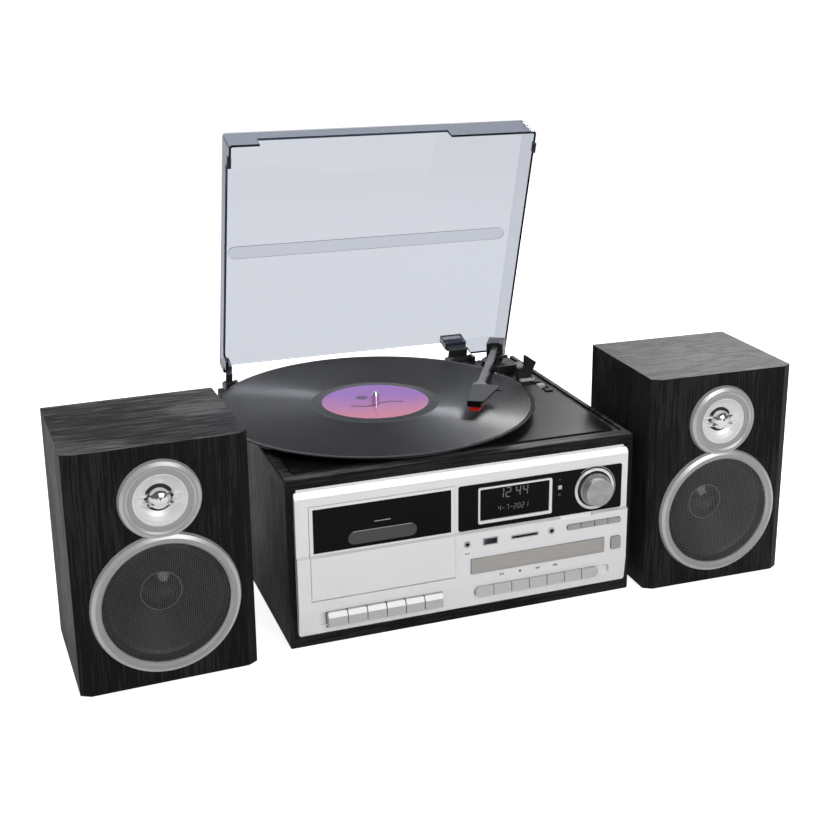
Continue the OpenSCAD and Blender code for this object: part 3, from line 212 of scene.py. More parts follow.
moulded.links.new(grain, g_out["Height"])


def plain(name, colour, roughness, mottle=0.12, relief=0.08, scale=40.0, grain=900.0, **more):
    """A moulded, lacquered or plated material with its own mottle and grain."""
    made, tree, sockets = shader(name, **more)
    parts = use_group(tree, moulded, Colour=(*colour, 1), Mottle=mottle, Scale=scale,
                      Grain=grain, Roughness=roughness)
    tree.links.new(parts["Colour"], sockets["Base Color"])
    tree.links.new(parts["Roughness"], sockets["Roughness"])
    bump = put(tree, "Bump", Strength=relief, Distance=0.0004, Height=parts["Height"])
    tree.links.new(bump, sockets["Normal"])
    return made


def none_selected():
    bpy.ops.object.select_all(action="DESELECT")


def settle(name):
    """Name the new object and put its place into its mesh."""
    made = bpy.context.object
    made.name = name
    bpy.ops.object.transform_apply(location=True, rotation=True, scale=True)
    return made


def pick(obj, wanted):
    """Edit mode on one object, with the faces selected whose middle and normal are wanted."""
    none_selected()
    obj.select_set(True)
    bpy.context.view_layer.objects.active = obj
    bpy.ops.object.mode_set(mode="EDIT")
    bpy.ops.mesh.select_mode(type="FACE")
    bpy.ops.mesh.select_all(action="DESELECT")
    bpy.ops.object.mode_set(mode="OBJECT")
    for face in obj.data.polygons:
        face.select = wanted(face.center, face.normal)
    bpy.ops.object.mode_set(mode="EDIT")


def edit_done():
    bpy.ops.object.mode_set(mode="OBJECT")


def placed(first, matrix):
    """A copy with its own mesh, moved into place."""
    made = first.copy()
    made.data = first.data.copy()
    made.data.transform(matrix)
    bpy.context.collection.objects.link(made)
    return made


def joined(name, pieces, material, *, drop=()):
    """One object of several, with one finish; the patterns that they were copied from go."""
    none_selected()
    for piece in pieces:
        piece.select_set(True)
    bpy.context.view_layer.objects.active = pieces[0]
    bpy.ops.object.join()
    made = bpy.context.object
    made.name = name
    for piece in drop:
        bpy.data.objects.remove(piece)
    made.data.materials.clear()
    made.data.materials.append(material)
    return made


def fixed(piece, body="unit"):
    """A finished piece rides on a body."""
    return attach(piece, body)


def screw_head(name, radius, height):
    """A round screw head that faces up, with a cross recess, at the origin."""
    none_selected()
    bpy.ops.mesh.primitive_cylinder_add(vertices=24, radius=radius, depth=height,
                                        location=(0, 0, height / 2))
    made = settle(name)
    pick(made, lambda middle, normal: normal.z > 0.9)
    bpy.ops.mesh.bevel(offset=height * 0.35, segments=3, affect="EDGES")
    edit_done()
    pick(made, lambda middle, normal: normal.z > 0.99)
    bpy.ops.mesh.inset(thickness=radius * 0.4)
    bpy.ops.mesh.extrude_region_move(TRANSFORM_OT_translate={"value": (0, 0, -height * 0.45)})
    bpy.ops.transform.resize(value=(0.7, 0.7, 1.0))
    edit_done()
    return made


black = plain("black moulding", (0.016, 0.016, 0.017), 0.4)
dress(black, "rear_panel", "cassette_mechanism", "disc_tray", "disc_mechanism", "hinge_bases",
      "tonearm_base", "tonearm_yoke", "cue_lift", "cue_lever", "speed_switch")
dark_steel = plain("blackened steel", (0.05, 0.05, 0.052), 0.35, Metallic=0.9)
panel_lo, panel_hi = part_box("rear_panel")
head = screw_head("panel screw", 2.6 * mm, 1.4 * mm)
facing_back = Matrix.Rotation(math.radians(-90), 4, "X")
from_side, from_edge = 7 * mm, 6 * mm
panel_mid_x = (panel_lo.x + panel_hi.x) / 2
screws = []
for x in (panel_lo.x + from_side, panel_mid_x - 40 * mm, panel_mid_x + 50 * mm,
          panel_hi.x - from_side):
    for z in (panel_lo.z + from_edge, panel_hi.z - from_edge):
        screws.append(placed(head, Matrix.Translation((x, panel_hi.y - 0.2 * mm, z))
                             @ facing_back))
fixed(joined("rear_screws", screws, dark_steel, drop=(head,)))

# Rubber feet of the unit and the speakers.
# Turned-down discs of soft black rubber, glued under the boards. The lid's bumpers and its
# hinge necks are of the same dull black.
rubber = plain("rubber", (0.012, 0.012, 0.012), 0.7, mottle=0.3, relief=0.2)
dress(rubber, "rubber_feet", "lid_fittings")

# Deck plate and platter.
# Pressed and moulded in satin black, with a round sunk field under the platter.
deck = plain("deck satin", (0.012, 0.012, 0.013), 0.3, relief=0.05, Coat_Weight=0.1,
             Coat_Roughness=0.2, Specular_IOR_Level=0.4)
dress(deck, "deck_plate", "platter")

# Front panel.
# One silver-lacquered moulding with a stepped profile. The surround of the readout and the
# ring round the knob are brighter, and small signs are printed in dark grey.
silver = plain("silver lacquer", (0.84, 0.842, 0.852), 0.34, mottle=0.04, Metallic=0.25)
bright_silver = plain("bright silver lacquer", (0.8, 0.8, 0.81), 0.24, mottle=0.04,
                      Metallic=0.4)
dress(silver, "fascia", "cassette_door")
fascia = nodes["fascia"]
fascia.data.materials.append(bright_silver)
window_lo, window_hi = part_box("display_window")
for face in fascia.data.polygons:
    if face.center.z > window_lo.z and face.center.x > window_lo.x + 6 * mm \
            and face.center.x < window_hi.x - 4 * mm and face.center.y < window_lo.y - 0.02 * mm:
        face.material_index = 1
print_ink = plain("dark grey print", (0.05, 0.05, 0.055), 0.5, relief=0.0)
print_t = 0.06 * mm


def print_bar(name, length, width, pointed=False):
    """A thin printed bar along X that faces the front, at the origin."""
    none_selected()
    bpy.ops.mesh.primitive_cube_add(size=1, scale=(length, print_t, width))
    made = settle(name)
    if pointed:
        pick(made, lambda middle, normal: abs(normal.x) > 0.9)
        bpy.ops.mesh.extrude_region_move()
        bpy.ops.transform.resize(value=(1 + width / length, 1.0, 0.05))
    else:
        pick(made, lambda middle, normal: normal.y < -0.9)
        bpy.ops.mesh.inset(thickness=width * 0.1)
    edit_done()
    return made


def print_triangle(name, size):
    """A thin printed triangle that points right and faces the front, at the origin."""
    none_selected()
    bpy.ops.mesh.primitive_circle_add(vertices=3, radius=size * 0.62, fill_type="NGON",
                                      rotation=(math.radians(90), math.radians(90), 0))
    made = settle(name)
    pick(made, lambda middle, normal: True)
    bpy.ops.mesh.extrude_region_move(TRANSFORM_OT_translate={"value": (0, print_t, 0)})
    bpy.ops.transform.translate(value=(0, -print_t / 2, 0))
    edit_done()
    return made


mark = 2.2 * mm
upright_bar = print_bar("upright bar", 0.5 * mm, mark)
arrow = print_triangle("arrow", mark)
square = print_bar("stop square", mark * 0.9, mark * 0.9)
leftward = Matrix.Rotation(math.radians(180), 4, "Y")
fascia_lo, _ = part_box("fascia")
sign_up = 8.5 * mm
as_is = Matrix.Identity(4)
signs = []
for button, forms in {
    2: [(arrow, -1.6, False), (upright_bar, 0.4, False), (upright_bar, 1.5, False)],
    3: [(square, 0, False)],
    4: [(arrow, -1.1, True), (arrow, 1.1, True)],
    5: [(arrow, -1.1, False), (arrow, 1.1, False)],
}.items():
    low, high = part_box(f"transport_button_{button}")
    for form, aside, turned in forms:
        spot = Vector(((low.x + high.x) / 2 + aside * mm, fascia_lo.y, high.z + sign_up))
        signs.append(placed(form, Matrix.Translation(spot) @ (leftward if turned else as_is)))
# Sign of the phones socket: a bow with two cups
phones_at = at_unit(-2.5, 0, 67.2)
none_selected()
bpy.ops.mesh.primitive_cube_add(size=1, scale=(0.4 * mm, print_t, 0.4 * mm),
                                location=(1.5 * mm, 0, 0))
bow = settle("bow")
pick(bow, lambda middle, normal: normal.z > 0.9)
bpy.ops.mesh.spin(steps=12, angle=-math.pi, center=(0, 0, 0), axis=(0, 1, 0))
edit_done()
cup = print_bar("cup", 0.8 * mm, 1.5 * mm)
for aside in (-1.5, 1.5):
    signs.append(placed(cup, Matrix.Translation(
        Vector((phones_at.x + aside * mm, fascia_lo.y, phones_at.z - 0.6 * mm)))))
signs.append(placed(bow, Matrix.Translation(Vector((phones_at.x, fascia_lo.y, phones_at.z)))))
fixed(joined("printed_signs", signs, print_ink,
             drop=(arrow, upright_bar, square, bow, cup)))

# Display window.
# A clear panel backed in black, behind which a liquid crystal shows the hour and the date.
window = plain("dark window", (0.003, 0.003, 0.0035), 0.1, mottle=0.2, relief=0.0,
               Specular_IOR_Level=0.08)
dress(window, "display_window", "cassette_pane")
lit_grey = plain("lit crystal", (0.16, 0.16, 0.165), 0.4, relief=0.0)
segment_of = {"0": "abcdef", "1": "bc", "2": "abged", "4": "fgbc", "5": "afgcd", "7": "abc",
              "-": "g"}


def digit_row(text, left, low, height, pitch):
    """Seven-bar digits on the window's face, from a corner in the unit's millimetres."""
    wide, thick, slant = height * 0.46, height * 0.11, 0.1
    flat_bar = print_bar("flat bar", (wide - thick) * mm, thick * mm, pointed=True)
    long_bar = print_bar("long bar", (height / 2 - thick) * mm, thick * mm, pointed=True)
    upright = Matrix.Rotation(math.radians(90), 4, "Y")
    spots = {"a": (wide / 2, height), "g": (wide / 2, height / 2), "d": (wide / 2, 0),
             "f": (0, height * 0.75), "b": (wide, height * 0.75),
             "e": (0, height * 0.25), "c": (wide, height * 0.25)}
    made = []
    for index, letter in enumerate(text):
        for bar in segment_of.get(letter, ""):
            x, z = spots[bar]
            spot = at_unit(left + index * pitch + x + z * slant, 0, low + z)
            spot.y = window_lo.y
            turned = Matrix.Translation(spot) @ (upright if bar in "fbec" else as_is)
            made.append(placed(long_bar if bar in "fbec" else flat_bar, turned))
    bpy.data.objects.remove(flat_bar)
    bpy.data.objects.remove(long_bar)
    return made


digits = digit_row("12", 27.5, 113.4, 8.6, 6.6) + digit_row("44", 43.5, 113.4, 8.6, 6.9)
digits += digit_row("4-7-2021", 27.0, 101.4, 4.6, 3.7)
fixed(joined("readout", digits, lit_grey))

# Lamps beside the readout.
# A red standby lamp, the clear eye of the remote receiver and a faint blue lamp.
lamp_red = plain("red lens", (0.22, 0.02, 0.02), 0.3, relief=0.0)
lamp_clear = plain("clear lens", (0.55, 0.55, 0.56), 0.25, relief=0.0)
lamp_blue = plain("blue lens", (0.03, 0.025, 0.12), 0.3, relief=0.0)
for name, finish, x, z, size in (("standby_lamp", lamp_red, 85.9, 121.8, 1.3),
                                 ("remote_eye", lamp_clear, 86.1, 114.7, 3.6),
                                 ("blue_lamp", lamp_blue, 85.6, 107.8, 2.2)):
    none_selected()
    spot = at_unit(x, 0, z)
    spot.y = window_lo.y - 0.05 * mm
    bpy.ops.mesh.primitive_cube_add(size=1, location=spot,
                                    scale=(size * mm, 0.5 * mm, size * mm))
    lens = settle(name)
    pick(lens, lambda middle, normal: normal.y < -0.9)
    bpy.ops.mesh.inset(thickness=0.25 * mm)
    bpy.ops.transform.translate(value=(0, -0.15 * mm, 0))
    edit_done()
    lens.data.materials.append(finish)
    fixed(lens)

# Circuit boards and transformer.
# Green fibreglass boards with black chips, and a laminated steel transformer.
board = plain("circuit board", (0.02, 0.12, 0.05), 0.35, mottle=0.4, scale=90.0)
dress(board, "electronics")

# Volume knob.
# Turned aluminium: a fluted foot and a drum with a spun face. Two arcs printed on the window
# mark its way.
turned, g_in, g_out = new_group(
    "turned face",
    {"Place": ("Vector", (0, 0, 0)), "Pitch": ("Float", 0.3 * mm)},
    {"Height": "Float"},
)
reach = put(turned, "VectorMath", out="Value", operation="LENGTH", i0=g_in["Place"])
rank = put(turned, "Math", operation="DIVIDE", i0=reach, i1=g_in["Pitch"])
ring_height = put(turned, "Math", operation="SINE", i0=rank)
uneven = put(turned, "TexNoise", Vector=put(turned, "CombineXYZ", X=reach), Scale=2600.0)
turned.links.new(sum_of(turned, ring_height, uneven), g_out["Height"])

knob_lo, knob_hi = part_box("volume_knob")
knob_mid = (knob_lo + knob_hi) / 2
knob_metal, tree, sockets = shader("spun aluminium", Metallic=0.85)
sockets["Base Color"].default_value = (0.43, 0.43, 0.44, 1)
from_mid = put(tree, "VectorMath", operation="SUBTRACT", i0=object_place(tree), i1=knob_mid)
flat = put(tree, "VectorMath", operation="MULTIPLY", i0=from_mid, i1=(1, 0, 1))
height = use_group(tree, turned, Place=flat, Pitch=0.04 * mm)["Height"]
tree.links.new(ramp(tree, height, -1.0, 2.0, 0.26, 0.38), sockets["Roughness"])
bump = put(tree, "Bump", Strength=0.35, Distance=0.0001, Height=height)
tree.links.new(bump, sockets["Normal"])
dress(knob_metal, "volume_knob")


def print_arc(name, radius, start, sweep):
    """A printed arc round the knob on the window's face; angles run from the right."""
    none_selected()
    bpy.ops.mesh.primitive_cube_add(size=1, scale=(0.5 * mm, print_t, 0.1 * mm),
                                    location=(radius, 0, 0))
    made = settle(name)
    pick(made, lambda middle, normal: normal.z > 0.9)
    bpy.ops.mesh.spin(steps=24, angle=-math.radians(sweep), center=(0, 0, 0), axis=(0, 1, 0))
    edit_done()
    spot = Vector((knob_mid.x, window_lo.y, knob_mid.z))
    made.data.transform(Matrix.Translation(spot) @ Matrix.Rotation(-math.radians(start), 4, "Y"))
    return made


white_ink = plain("white print", (0.5, 0.5, 0.51), 0.45, relief=0.0)
arc_r = 20.9 * mm
arcs = [print_arc("left arc", arc_r, 130, 110), print_arc("top arc", arc_r, 20, 60)]
fixed(joined("volume_scale", arcs, white_ink))

# Cassette door window.
# The door's upper half carries a black pane with a lozenge of smoky glazing before the reels
# and a short white dash.
glazing = plain("smoky glazing", (0.035, 0.036, 0.038), 0.16, mottle=0.2, relief=0.0,
                Coat_Weight=0.3, Coat_Roughness=0.05)
pane_lo, pane_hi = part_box("cassette_pane")
pane_mid = (pane_lo + pane_hi) / 2
slot_w, slot_h = 61.5 * mm, 12.4 * mm
slot_mid = Vector((pane_mid.x - 0.5 * mm, pane_lo.y + 0.9 * mm, pane_lo.z - 0.1 * mm + 2.6 * mm
                   + slot_h / 2))
none_selected()
bpy.ops.mesh.primitive_cube_add(size=1, location=slot_mid,
                                scale=(slot_w - 0.2 * mm, 1.2 * mm, slot_h - 0.2 * mm))
lozenge = settle("reel_glazing")
lozenge.select_set(True)
bpy.ops.object.mode_set(mode="EDIT")
bpy.ops.mesh.select_mode(type="EDGE")
bpy.ops.mesh.select_all(action="DESELECT")
bpy.ops.object.mode_set(mode="OBJECT")
for edge in lozenge.data.edges:
    ends = [lozenge.data.vertices[i].co for i in edge.vertices]
    edge.select = abs(ends[0].y - ends[1].y) > 1.0 * mm
bpy.ops.object.mode_set(mode="EDIT")
bpy.ops.mesh.bevel(offset=slot_h / 2 - 0.3 * mm, segments=12, affect="EDGES")
edit_done()
pick(lozenge, lambda middle, normal: normal.y < -0.9)
bpy.ops.mesh.inset(thickness=0.5 * mm)
bpy.ops.transform.translate(value=(0, -0.3 * mm, 0))
edit_done()
lozenge.data.materials.append(glazing)
fixed(lozenge, "tape_door")

dash_bar = print_bar("window_dash", 14.5 * mm, 0.55 * mm)
dash_at = Vector((at_unit(-78.4, 0, 0).x, pane_lo.y, slot_mid.z + slot_h / 2 + 6.5 * mm))
dash = placed(dash_bar, Matrix.Translation(dash_at))
fixed(joined("window_line", [dash], white_ink, drop=(dash_bar,)), "tape_door")

# Reels of the cassette deck.
# White moulded hubs with six teeth each, on steel shafts. The auto-stop switch and the tone
# arm's clip are white mouldings too.
white_plastic = plain("white moulding", (0.6, 0.6, 0.58), 0.4)
dress(white_plastic, "spool_left", "spool_right", "autostop_switch", "arm_clip")

# Cassette keys, and the small buttons.
# Silver-grey lacquered caps on moulded rockers; the edges of the caps catch the light.
key_grey = plain("key lacquer", (0.52, 0.52, 0.532), 0.34, mottle=0.05, Metallic=0.25)
dress(key_grey, *[f"cassette_key_{i}" for i in range(1, 7)])
button_silver = plain("button lacquer", (0.56, 0.56, 0.572), 0.34, mottle=0.05, Metallic=0.25)
dress(button_silver, *[f"transport_button_{i}" for i in range(1, 8)])
small_grey = plain("small button lacquer", (0.36, 0.36, 0.37), 0.36, mottle=0.05,
                   Metallic=0.25)
dress(small_grey, "eject_button", *[f"function_button_{i}" for i in range(1, 5)])

# Disc drawer.
# A moulded front in warm grey lacquer, brushed from side to side, before the black tray.
brushed, tree, sockets = shader("drawer lacquer", Metallic=0.35)
streaks = put(tree, "Mapping", Vector=object_place(tree), Scale=(12, 60, 2400))
brush = put(tree, "TexNoise", Vector=streaks, Scale=1.0, Detail=3.0)
tree.links.new(two_tone(tree, brush, (0.36, 0.342, 0.327, 1), (0.48, 0.458, 0.444, 1)),
               sockets["Base Color"])
tree.links.new(ramp(tree, brush, 0.3, 0.7, 0.28, 0.4), sockets["Roughness"])
dress(brushed, "drawer_front")

# Front sockets and the turntable's motor.
# Plated steel shells and cases.
sheet_steel = plain("plated sheet", (0.5, 0.5, 0.52), 0.3, mottle=0.15, Metallic=1.0)
dress(sheet_steel, "front_sockets", "turntable_motor")

# Slip mat.
# A disc of black felt that lies on the platter.
felt = plain("felt", (0.012, 0.012, 0.013), 0.95, mottle=0.4, relief=0.6, grain=1600.0,
             Sheen_Weight=0.3)
dress(felt, "slip_mat")

# Record and spindle.
# Pressed black vinyl: fine grooves with quieter bands between the tracks, a bare run-out ring
# and a paper label in violet and rose. The spindle is chromed.
rec_lo, rec_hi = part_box("record")
rec_mid = (rec_lo + rec_hi) / 2
vinyl, tree, sockets = shader("record vinyl", Specular_IOR_Level=0.32, Anisotropic=0.9,
                               Anisotropic_Rotation=0.25)
from_mid = put(tree, "VectorMath", operation="SUBTRACT", i0=object_place(tree),
               i1=(rec_mid.x, rec_mid.y, 0))
flat = put(tree, "VectorMath", operation="MULTIPLY", i0=from_mid, i1=(1, 1, 0))
reach = put(tree, "VectorMath", out="Value", operation="LENGTH", i0=flat)
label_r, bare_r, groove_r = 50 * mm, 60 * mm, 146 * mm


def band(value, low, high, soft=0.4 * mm):
    """Mask of a ring between two radii."""
    return times(tree, ramp(tree, value, low, low + soft),
                 ramp(tree, value, high - soft, high, 1.0, 0.0))


grooved = band(reach, bare_r, groove_r)
tracks = put(tree, "CombineXYZ", X=reach)
loud = put(tree, "TexNoise", Vector=tracks, Scale=420.0, Detail=5.0, Roughness=0.7)
grooves = use_group(tree, turned, Place=flat, Pitch=0.09 * mm)["Height"]
bump = put(tree, "Bump", Strength=0.5, Distance=0.0001, Height=times(tree, grooved, grooves))
tree.links.new(bump, sockets["Normal"])
coarse = times(tree, grooved, sum_of(tree, 0.04, times(tree, loud, 0.34)))
tree.links.new(sum_of(tree, coarse, 0.12), sockets["Roughness"])
dark = two_tone(tree, times(tree, grooved, loud), (0.004, 0.004, 0.0045, 1),
                (0.02, 0.019, 0.02, 1))
slope = put(tree, "VectorMath", out="Value", operation="DOT_PRODUCT", i0=flat,
            i1=(0.25, 0.97, 0))
blush = put(tree, "TexNoise", Vector=object_place(tree), Scale=26.0, Detail=2.0)
fade = ramp(tree, sum_of(tree, slope, times(tree, blush, 0.03)), -0.02, 0.03)
paper = two_tone(tree, fade, (0.8, 0.26, 0.4, 1), (0.4, 0.17, 0.6, 1))
# A dark wave and a small disc are printed across the label
across = put(tree, "SeparateXYZ", Vector=flat)
along = put(tree, "SeparateXYZ", out="Y", Vector=flat)
crest = times(tree, put(tree, "Math", operation="SINE", i0=times(tree, across, 160.0)), 3.2 * mm)
off = put(tree, "Math", operation="ABSOLUTE", i0=put(tree, "Math", operation="SUBTRACT",
                                                     i0=along, i1=sum_of(tree, crest, -9 * mm)))
wave = times(tree, ramp(tree, off, 1.6 * mm, 2.0 * mm, 1.0, 0.0),
             ramp(tree, reach, 26 * mm, 27 * mm, 1.0, 0.0))
sun = put(tree, "VectorMath", out="Value", operation="DISTANCE", i0=flat,
          i1=(-9 * mm, 14 * mm, 0))
design = put(tree, "Math", operation="MAXIMUM", i0=wave,
             i1=ramp(tree, sun, 5.5 * mm, 5.8 * mm, 1.0, 0.0))
paper = two_tone(tree, times(tree, design, 0.8), paper, (0.05, 0.03, 0.08, 1))
is_label = ramp(tree, reach, label_r - 0.2 * mm, label_r, 1.0, 0.0)
tree.links.new(two_tone(tree, is_label, dark, paper), sockets["Base Color"])
dress(vinyl, "record")
chrome = plain("chrome", (0.86, 0.86, 0.88), 0.08, mottle=0.04, relief=0.01, Metallic=1.0)
dress(chrome, "spindle")

# Drive of the platter.
# A turned brass pulley on the motor's shaft and a flat rubber belt.
brass = plain("turned brass", (0.75, 0.52, 0.2), 0.22, mottle=0.1, Metallic=1.0)
dress(brass, "motor_pulley")
dress(rubber, "drive_belt")

# Tone arm.
# A straight bar of satin aluminium in a black yoke, with a black headshell and a red stylus
# holder. Small bright screws sit in the deck round its base.
cast = plain("satin aluminium", (0.2, 0.2, 0.208), 0.34, mottle=0.08, Metallic=0.7)
dress(cast, "tonearm")
glossy_black = plain("glossy black moulding", (0.006, 0.006, 0.0065), 0.24, relief=0.03,
                     Specular_IOR_Level=0.4)
dress(glossy_black, "headshell")
red = plain("red moulding", (0.62, 0.02, 0.012), 0.22, mottle=0.1, Coat_Weight=0.4)
dress(red, "stylus")
bright_steel = plain("bright screw steel", (0.6, 0.6, 0.61), 0.22, Metallic=1.0)
small_head = screw_head("small screw", 1.7 * mm, 1.1 * mm)
seat_z = 153.9
fixings = [placed(small_head, Matrix.Translation(at_unit(x, y, seat_z)))
           for x, y in ((146.9, 196), (117, 259.5), (146.8, 252))]
fixed(joined("arm_screws", fixings, bright_steel, drop=(small_head,)))

# Lid.
# Smoked clear plastic: the light that passes darkens with the way through the wall, so the
# plate is pale and the edges are deep blue.
smoke, tree, sockets = shader("smoked clear plastic", IOR=1.3, Transmission_Weight=1.0)
sockets["Base Color"].default_value = (0.93, 0.935, 0.95, 1)
haze = put(tree, "TexNoise", Vector=object_place(tree), Scale=14.0, Detail=3.0)
tree.links.new(ramp(tree, haze, 0.3, 0.7, 0.012, 0.03), sockets["Roughness"])
output = tree.nodes["Material Output"].inputs
inside = put(tree, "VolumeAbsorption", Color=(0.27, 0.32, 0.42, 1), Density=285.0)
tree.links.new(inside, output["Volume"])
ray = tree.nodes.new("ShaderNodeLightPath").outputs
clear = put(tree, "BsdfTransparent", Color=(0.9, 0.91, 0.93, 1))
mixed = put(tree, "MixShader", i0=ray["Is Shadow Ray"],
            i1=tree.nodes["Principled BSDF"].outputs[0], i2=clear)
tree.links.new(mixed, output["Surface"])
dress(smoke, "lid")
# Painted shade: the low wall round the long raised panel, clear plastic like the plate, takes
# an opaque dark finish for the dark line that it shows through the plate
wall_shade = plain("panel wall", (0.012, 0.014, 0.022), 0.4, relief=0.0)
plate = nodes["lid"].data
plate.materials.append(wall_shade)
outwards = max(plate.polygons, key=lambda face: face.area).normal.copy()
outwards *= math.copysign(1, outwards.y)
highest = max(outwards.dot(corner.co) for corner in plate.vertices)
wall_h = 0.79 * mm
for face in plate.polygons:
    if abs(face.normal.dot(outwards)) < 0.2 and outwards.dot(face.center) > highest - wall_h:
        face.material_index = 1

# Speaker trims and tweeters.
# Lacquered rings with a bright outer bevel and a satin flat. The tweeter's flared mouth is
# white-silver, its dome and the two bars across it are chromed, and the gap round the dome is
# painted shade: a narrow ring there takes the cone's dark finish.
spk_spots = {"left": (-262.0, -15.0, 1.7), "right": (244.0, -13.0, -1.4)}
tweet_up, woof_up = 160.0, 72.0


def speaker_frame(side, up):
    """Matrix from a speaker driver's own axes, facing the front, to its place."""
    x, y, turn = spk_spots[side]
    return Matrix.Translation(at_unit(x, y, up)) @ Matrix.Rotation(math.radians(turn), 4, "Z")


def in_driver(middle, up):
    """A place seen from the nearer speaker's driver."""
    side = "left" if middle.x < 0 else "right"
    return speaker_frame(side, up).inverted() @ middle


satin_ring = plain("satin ring lacquer", (0.34, 0.34, 0.35), 0.4, mottle=0.05, Metallic=0.4)
cone = plain("pulp cone", (0.014, 0.014, 0.015), 0.6, mottle=0.35, relief=0.4, grain=600.0)
trim_silver = plain("trim lacquer", (0.55, 0.55, 0.56), 0.34, mottle=0.04, Metallic=0.4)
dress(trim_silver, "speaker_trims")
trims = nodes["speaker_trims"]
trims.data.materials.append(satin_ring)
for face in trims.data.polygons:
    if face.normal.y < -0.97:
        face.material_index = 1
horn_silver = plain("horn lacquer", (0.85, 0.85, 0.86), 0.42, mottle=0.04, Metallic=0.2)
dress(horn_silver, "tweeters")
tweeters = nodes["tweeters"]
mirror = plain("chromed dome", (0.8, 0.8, 0.81), 0.16, mottle=0.04, relief=0.0, Metallic=1.0)
tweeters.data.materials.append(mirror)
tweeters.data.materials.append(cone)
dome_r, bars_y = 9.6 * mm, -3.1 * mm
# Faces within a millimetre outside the dome take the cone's dark finish: painted shade of the gap
# round the dome
for face in tweeters.data.polygons:
    seen = in_driver(face.center, tweet_up)
    reach = math.hypot(seen.x, seen.z)
    if seen.y < bars_y or reach < dome_r:
        face.material_index = 1
    elif reach < dome_r + 1 * mm:
        face.material_index = 2

# Woofers.
# Pressed pulp cones with a glossy dust cap in a light rim, behind a fine woven wire mesh that
# a black hoop holds in the trim ring.
cap_gloss = plain("dust cap lacquer", (0.02, 0.02, 0.022), 0.16, relief=0.0)
cap_rim = plain("cap rim", (0.2, 0.2, 0.21), 0.35, relief=0.0)
roll = plain("rubber roll", (0.02, 0.02, 0.021), 0.45, mottle=0.2)
dress(cone, "woofers")
woofers = nodes["woofers"]
for finish in (cap_gloss, cap_rim, roll):
    woofers.data.materials.append(finish)
cap_r, rim_r, cone_r = 15.5, 17.2, 43
for face in woofers.data.polygons:
    seen = in_driver(face.center, woof_up)
    reach = math.hypot(seen.x, seen.z) / mm
    face.material_index = (1 if reach < cap_r else 2 if reach < rim_r else
                           3 if reach > cone_r else 0)

mesh_r, hoop_t = 50.9 * mm, 1.2 * mm
mesh_wire = plain("mesh wire", (0.24, 0.235, 0.228), 0.32, mottle=0.3, Metallic=0.6)
none_selected()
bpy.ops.mesh.primitive_grid_add(x_subdivisions=68, y_subdivisions=68, size=2 * mesh_r)
weave = settle("weave")
pick(weave, lambda middle, normal: middle.length > mesh_r - 0.6 * mm)
bpy.ops.mesh.delete(type="FACE")
edit_done()
wires = weave.modifiers.new("wires", "WIREFRAME")
wires.thickness = 0.46 * mm
wires.use_even_offset = False
bpy.context.view_layer.objects.active = weave
bpy.ops.object.modifier_apply(modifier="wires")
# The hoop: a band drawn up from a circle and folded inwards
none_selected()
bpy.ops.mesh.primitive_circle_add(vertices=96, radius=mesh_r, location=(0, 0, -hoop_t / 2))
hoop = settle("hoop")
bpy.context.view_layer.objects.active = hoop
bpy.ops.object.mode_set(mode="EDIT")
bpy.ops.mesh.select_all(action="SELECT")
inwards = 1 - 1.4 * mm / mesh_r
bpy.ops.mesh.extrude_region_move(TRANSFORM_OT_translate={"value": (0, 0, hoop_t)})
bpy.ops.mesh.extrude_region_move()
bpy.ops.transform.resize(value=(inwards, inwards, 1))
bpy.ops.mesh.extrude_region_move(TRANSFORM_OT_translate={"value": (0, 0, -hoop_t)})
bpy.ops.mesh.select_all(action="SELECT")
bpy.ops.mesh.normals_make_consistent(inside=False)
edit_done()
facing_front = Matrix.Rotation(math.radians(90), 4, "X")
nets = []
for side in spk_spots:
    spot = speaker_frame(side, woof_up) @ Matrix.Translation((0, -1.2 * mm, 0)) @ facing_front
    nets.append(placed(weave, spot))
    nets.append(placed(hoop, spot))
net = joined("woofer_mesh", nets, mesh_wire, drop=(weave, hoop))
fixed(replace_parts(net, "woofer_grilles"))

# Studio: a white floor and a white surround, with three soft lamps. Both are bright to the
# camera and through the lid, and dimmer to bounced and mirrored light. The left lamp isn't
# mirrored.
bpy.ops.mesh.primitive_plane_add(size=30, location=(0, 6, 0))
floor = bpy.context.object
floor.name = "floor"
ground, tree, sockets = shader("floor white", Roughness=0.9)
ray = tree.nodes.new("ShaderNodeLightPath").outputs
through = ray["Is Transmission Ray"]
tree.links.new(two_tone(tree, through, (0.88, 0.88, 0.88, 1), (0.09, 0.09, 0.09, 1)),
               sockets["Base Color"])
sockets["Emission Color"].default_value = (1, 1, 1, 1)
direct = sum_of(tree, times(tree, ray["Is Camera Ray"], 0.88), times(tree, through, 0.9))
tree.links.new(sum_of(tree, direct, times(tree, ray["Is Glossy Ray"], 0.2)),
               sockets["Emission Strength"])
floor.data.materials.append(ground)

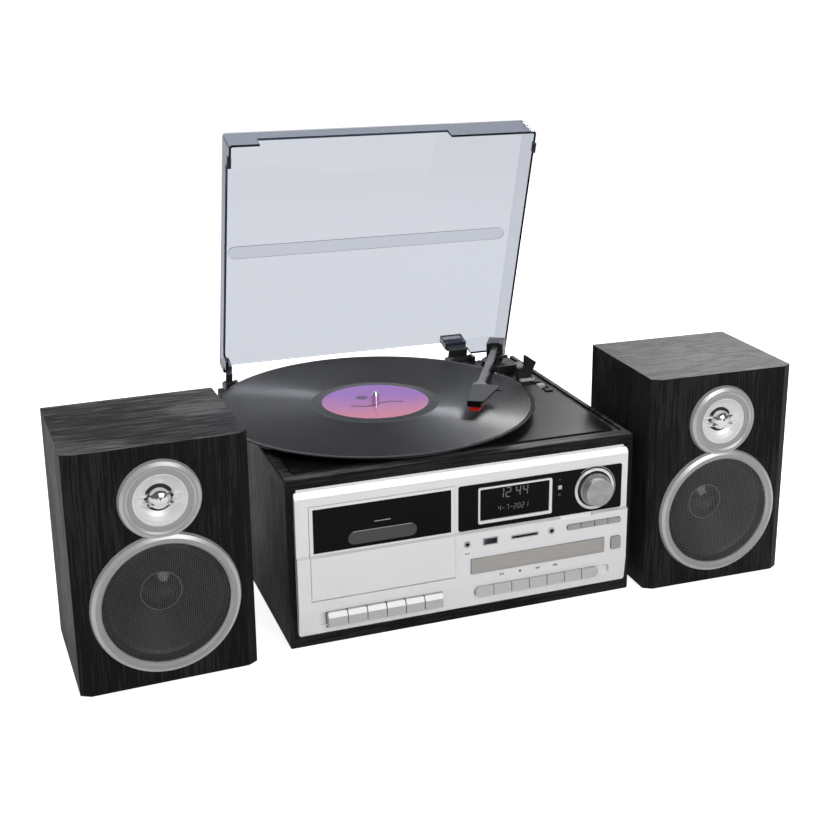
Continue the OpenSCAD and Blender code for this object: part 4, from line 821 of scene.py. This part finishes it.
world = bpy.data.worlds.new("studio")
bpy.context.scene.world = world
world.use_nodes = True
tree = world.node_tree
backdrop = tree.nodes["Background"]
ray = tree.nodes.new("ShaderNodeLightPath").outputs
seen = put(tree, "Math", operation="MAXIMUM", i0=ray["Is Camera Ray"],
           i1=ray["Is Transmission Ray"])
way = put(tree, "SeparateXYZ", out="Y", Vector=put(tree, "TexCoord", out="Generated"))
behind = ramp(tree, way, -0.5, 0.6, 0.1, 0.3)
strength = put(tree, "Mix", out=0, data_type="FLOAT", i0=seen, i2=behind, i3=1.0)
tree.links.new(strength, backdrop.inputs["Strength"])
backdrop.inputs["Color"].default_value = (1, 1, 1, 1)


def softbox(name, at, aim, size, power):
    light = bpy.data.lights.new(name, "AREA")
    light.shape = "RECTANGLE"
    light.size, light.size_y = size
    light.energy = power
    made = bpy.data.objects.new(name, light)
    made.matrix_world = Matrix.Translation(at) @ (Vector(aim) - Vector(at)).to_track_quat(
        "-Z", "Y").to_matrix().to_4x4()
    bpy.context.collection.objects.link(made)
    return made


left_lamp = softbox("left softbox", (-1.6, -0.6, 1.3), (0, 0, 0.15), (1.2, 1.2), 12)
left_lamp.visible_glossy = False
softbox("front softbox", (0.5, -1.9, 1.2), (0, 0, 0.12), (1.4, 0.9), 24)
softbox("rear softbox", (1.35, 1.4, 1.3), (0, 0.1, 0.15), (0.7, 0.5), 22)

# Camera, fitted to the photograph's edges.
yaw, pitch, roll = math.radians(21.82), math.radians(16.75), math.radians(0.16)
focal_px, image_px = 1335.0, 826
middle_px = (468.9, 364.7)
ahead = Vector((math.sin(yaw) * math.cos(pitch), math.cos(yaw) * math.cos(pitch),
                -math.sin(pitch)))
right = Vector((math.cos(yaw), -math.sin(yaw), 0))
up = right.cross(ahead)
rolled_right = math.cos(roll) * right + math.sin(roll) * up
rolled_up = math.cos(roll) * up - math.sin(roll) * right
lens = bpy.data.cameras.new("camera")
lens.sensor_width = 36
lens.lens = focal_px / image_px * lens.sensor_width
lens.shift_x = (image_px / 2 - middle_px[0]) / image_px
lens.shift_y = (middle_px[1] - image_px / 2) / image_px
camera = bpy.data.objects.new("camera", lens)
turn = Matrix((rolled_right, rolled_up, -ahead)).transposed().to_4x4()
camera_at = at_unit(-396.7, -993.9, 557.8)
camera.matrix_world = Matrix.Translation(camera_at) @ turn
bpy.context.collection.objects.link(camera)
bpy.context.scene.camera = camera
bpy.context.scene.view_settings.view_transform = "Standard"
